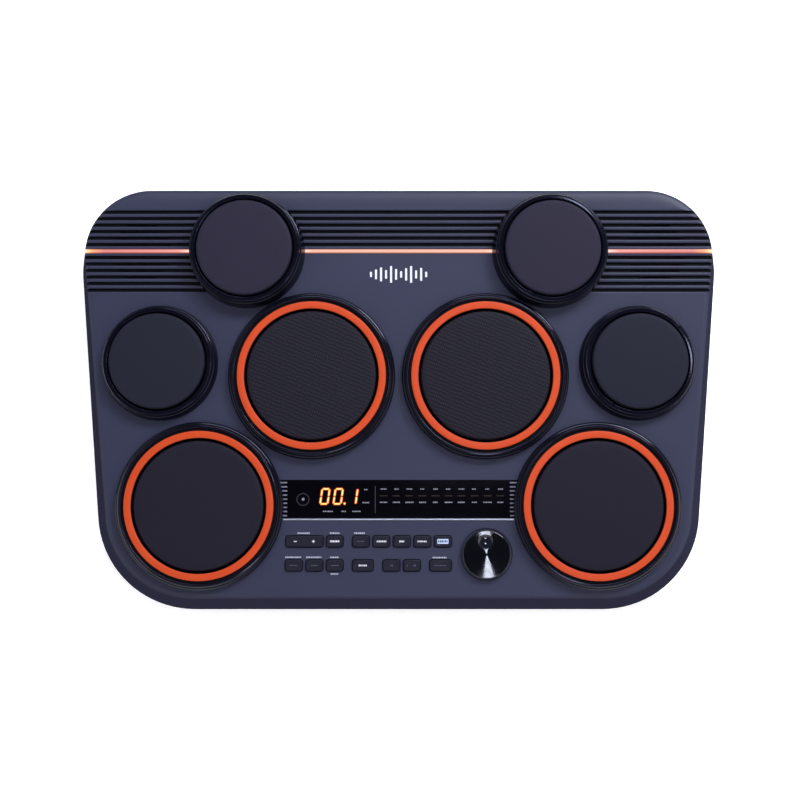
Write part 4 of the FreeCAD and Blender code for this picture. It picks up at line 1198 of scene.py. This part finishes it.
DIAL_STEPS = 240
ring_count = int((DIAL_RADIUS - ROUNDING) / RING_PITCH)
radii = [RING_PITCH * i for i in range(1, ring_count + 1)]
radii += [DIAL_RADIUS - ROUNDING * (1 - math.sin(math.pi / 2 * i / 18)) for i in range(0, 19)]
points = [deck_point(DIAL_X, DIAL_V, DIAL_TOP - RING_PITCH * RING_TILT)]
faces = []
section = [(r, dial_height(r)) for r in radii] + [(DIAL_RADIUS, 3.0), (DIAL_RADIUS, -0.7)]
count = len(section)
for k in range(DIAL_STEPS):
    a = 2 * math.pi * k / DIAL_STEPS
    for r, h in section:
        points.append(deck_point(DIAL_X + r * math.cos(a), DIAL_V + r * math.sin(a), h))
    here, there = 1 + k * count, 1 + (k + 1) % DIAL_STEPS * count
    faces.append((0, here, there))
    for i in range(count - 1):
        faces.append((here + i, here + i + 1, there + i + 1, there + i))
faces.append(tuple(1 + k * count + count - 1 for k in range(DIAL_STEPS)))
dial = mesh_object("dial_cap", points, faces, 6.0)
lacquer, lacquer_shader, place = new_material("turned_gloss_black_lacquer")
feed(lacquer, lacquer_shader, {
    "Base Color": srgb("#07080e"),
    "Roughness": spread(lacquer, noise(lacquer, place, 120.0, 3.0), 0.05, 0.08),
    "IOR": 1.7,
})
dimple_gloss, dimple_shader, place = new_material("polished_black_dimple")
feed(dimple_gloss, dimple_shader, {
    "Base Color": srgb("#14161f"),
    "Roughness": spread(dimple_gloss, noise(dimple_gloss, place, 200.0), 0.06, 0.12),
    "IOR": 1.6,
})
wear(dial, lacquer)
ball = bpy.data.meshes.new("cutter")
work = bmesh.new()
bmesh.ops.create_uvsphere(work, u_segments=128, v_segments=96, radius=DIMPLE_BALL * MM)
work.to_mesh(ball)
work.free()
ball.transform(DECK @ Matrix.Translation((
    (DIAL_X + DIMPLE_OFFSET[0]) * MM, (DIAL_V + DIMPLE_OFFSET[1]) * MM,
    (DIAL_TOP - DIMPLE_DEEP + DIMPLE_BALL) * MM)))
ball.materials.append(dimple_gloss)
carve(dial, [bpy.data.objects.new("cutter", ball)])
tidy_mesh(dial.data, 6.0)
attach(dial, "dial")
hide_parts("dial_knob")

# --------------------------------------------------- lower tray and door
# The tapering tray that closes the case from below and its battery door, both
# moulded in charcoal ABS. They keep their frame shapes and get their finish here.


def moulded(name, colour, second, roughness, grain_mm, strength=0.2):
    """A moulded plastic or rubber with a colour drift and a fine grain."""
    material, shader, place = new_material(name)
    grain = noise(material, place, 1 / (grain_mm * MM))
    feed(material, shader, {
        "Base Color": between(material, noise(material, place, 35.0, 3.0), colour, second),
        "Roughness": spread(material, grain, roughness - 0.06, roughness + 0.06),
        "Normal": relief(material, grain, strength, 0.0001),
    })
    return material


def finish(names, material):
    """Gives carried-over pieces their material."""
    for name in names:
        wear(frame["nodes"][name], material)


finish(["bottom_case", "battery_door"],
       moulded("charcoal_abs_tray", "#12121a", "#16161f", 0.5, 0.5))

# ------------------------------------------------------------------ feet
# Four soft rubber discs glued into the corners of the tray.
finish(["rubber_feet"], moulded("black_foot_rubber", "#131315", "#18181a", 0.8, 0.7, 0.4))

# --------------------------------------------------------- pad undersides
# Under each head is a stiff plate with its sensor, carried by a foam ring.
inner_abs = moulded("black_inner_abs", "#17181c", "#1c1d22", 0.55, 0.6)
finish([f"{pad}_plate" for pad in LARGE_PADS + SMALL_PADS], inner_abs)
finish(["pad_isolators"], moulded("open_cell_foam", "#1d1d1f", "#28282a", 0.95, 1.2, 0.9))

# -------------------------------------------------- box, switches and cores
# The battery box, the display block, the key switches, the dial's sensor and
# the power switch, in plain black plastic.
finish(["battery_box", "display_module", "key_switches", "encoder_body", "power_switch"],
       inner_abs)

# ---------------------------------------------------------------- metal
# Zinc plated screws from below, the battery springs and the dial's steel shaft.


def plated(name, colour, roughness):
    """Plated or turned metal with a fine unevenness."""
    material, shader, place = new_material(name)
    brush = noise(material, place, 700.0, 4.0)
    feed(material, shader, {
        "Base Color": srgb(colour),
        "Metallic": 1.0,
        "Roughness": spread(material, brush, roughness - 0.08, roughness + 0.08),
    })
    return material


finish(["battery_contacts", "case_screws"], plated("zinc_plated_steel", "#b4b6ba", 0.32))
finish(["encoder_shaft"], plated("turned_steel_shaft", "#9ea1a8", 0.25))

# --------------------------------------------------------------- boards
# The main board, the key board and the boards of the lamps, green with a
# slightly uneven solder resist.
finish(["key_board", "main_board", "light_boards"],
       moulded("green_circuit_board", "#0d4a2b", "#115a35", 0.35, 2.0, 0.1))

# -------------------------------------------------------------- speakers
# Two small speakers with paper cones, clipped under the ribbed band.
finish(["speaker_left", "speaker_right"],
       moulded("black_paper_cone", "#161617", "#1f1f20", 0.85, 0.9, 0.6))

# ----------------------------------------------------- sockets and power
# The recessed tray in the back wall with its sockets and the power button.
finish(["socket_tray", "rear_sockets", "power_button"],
       moulded("black_socket_nylon", "#0f1013", "#15161a", 0.42, 0.6))
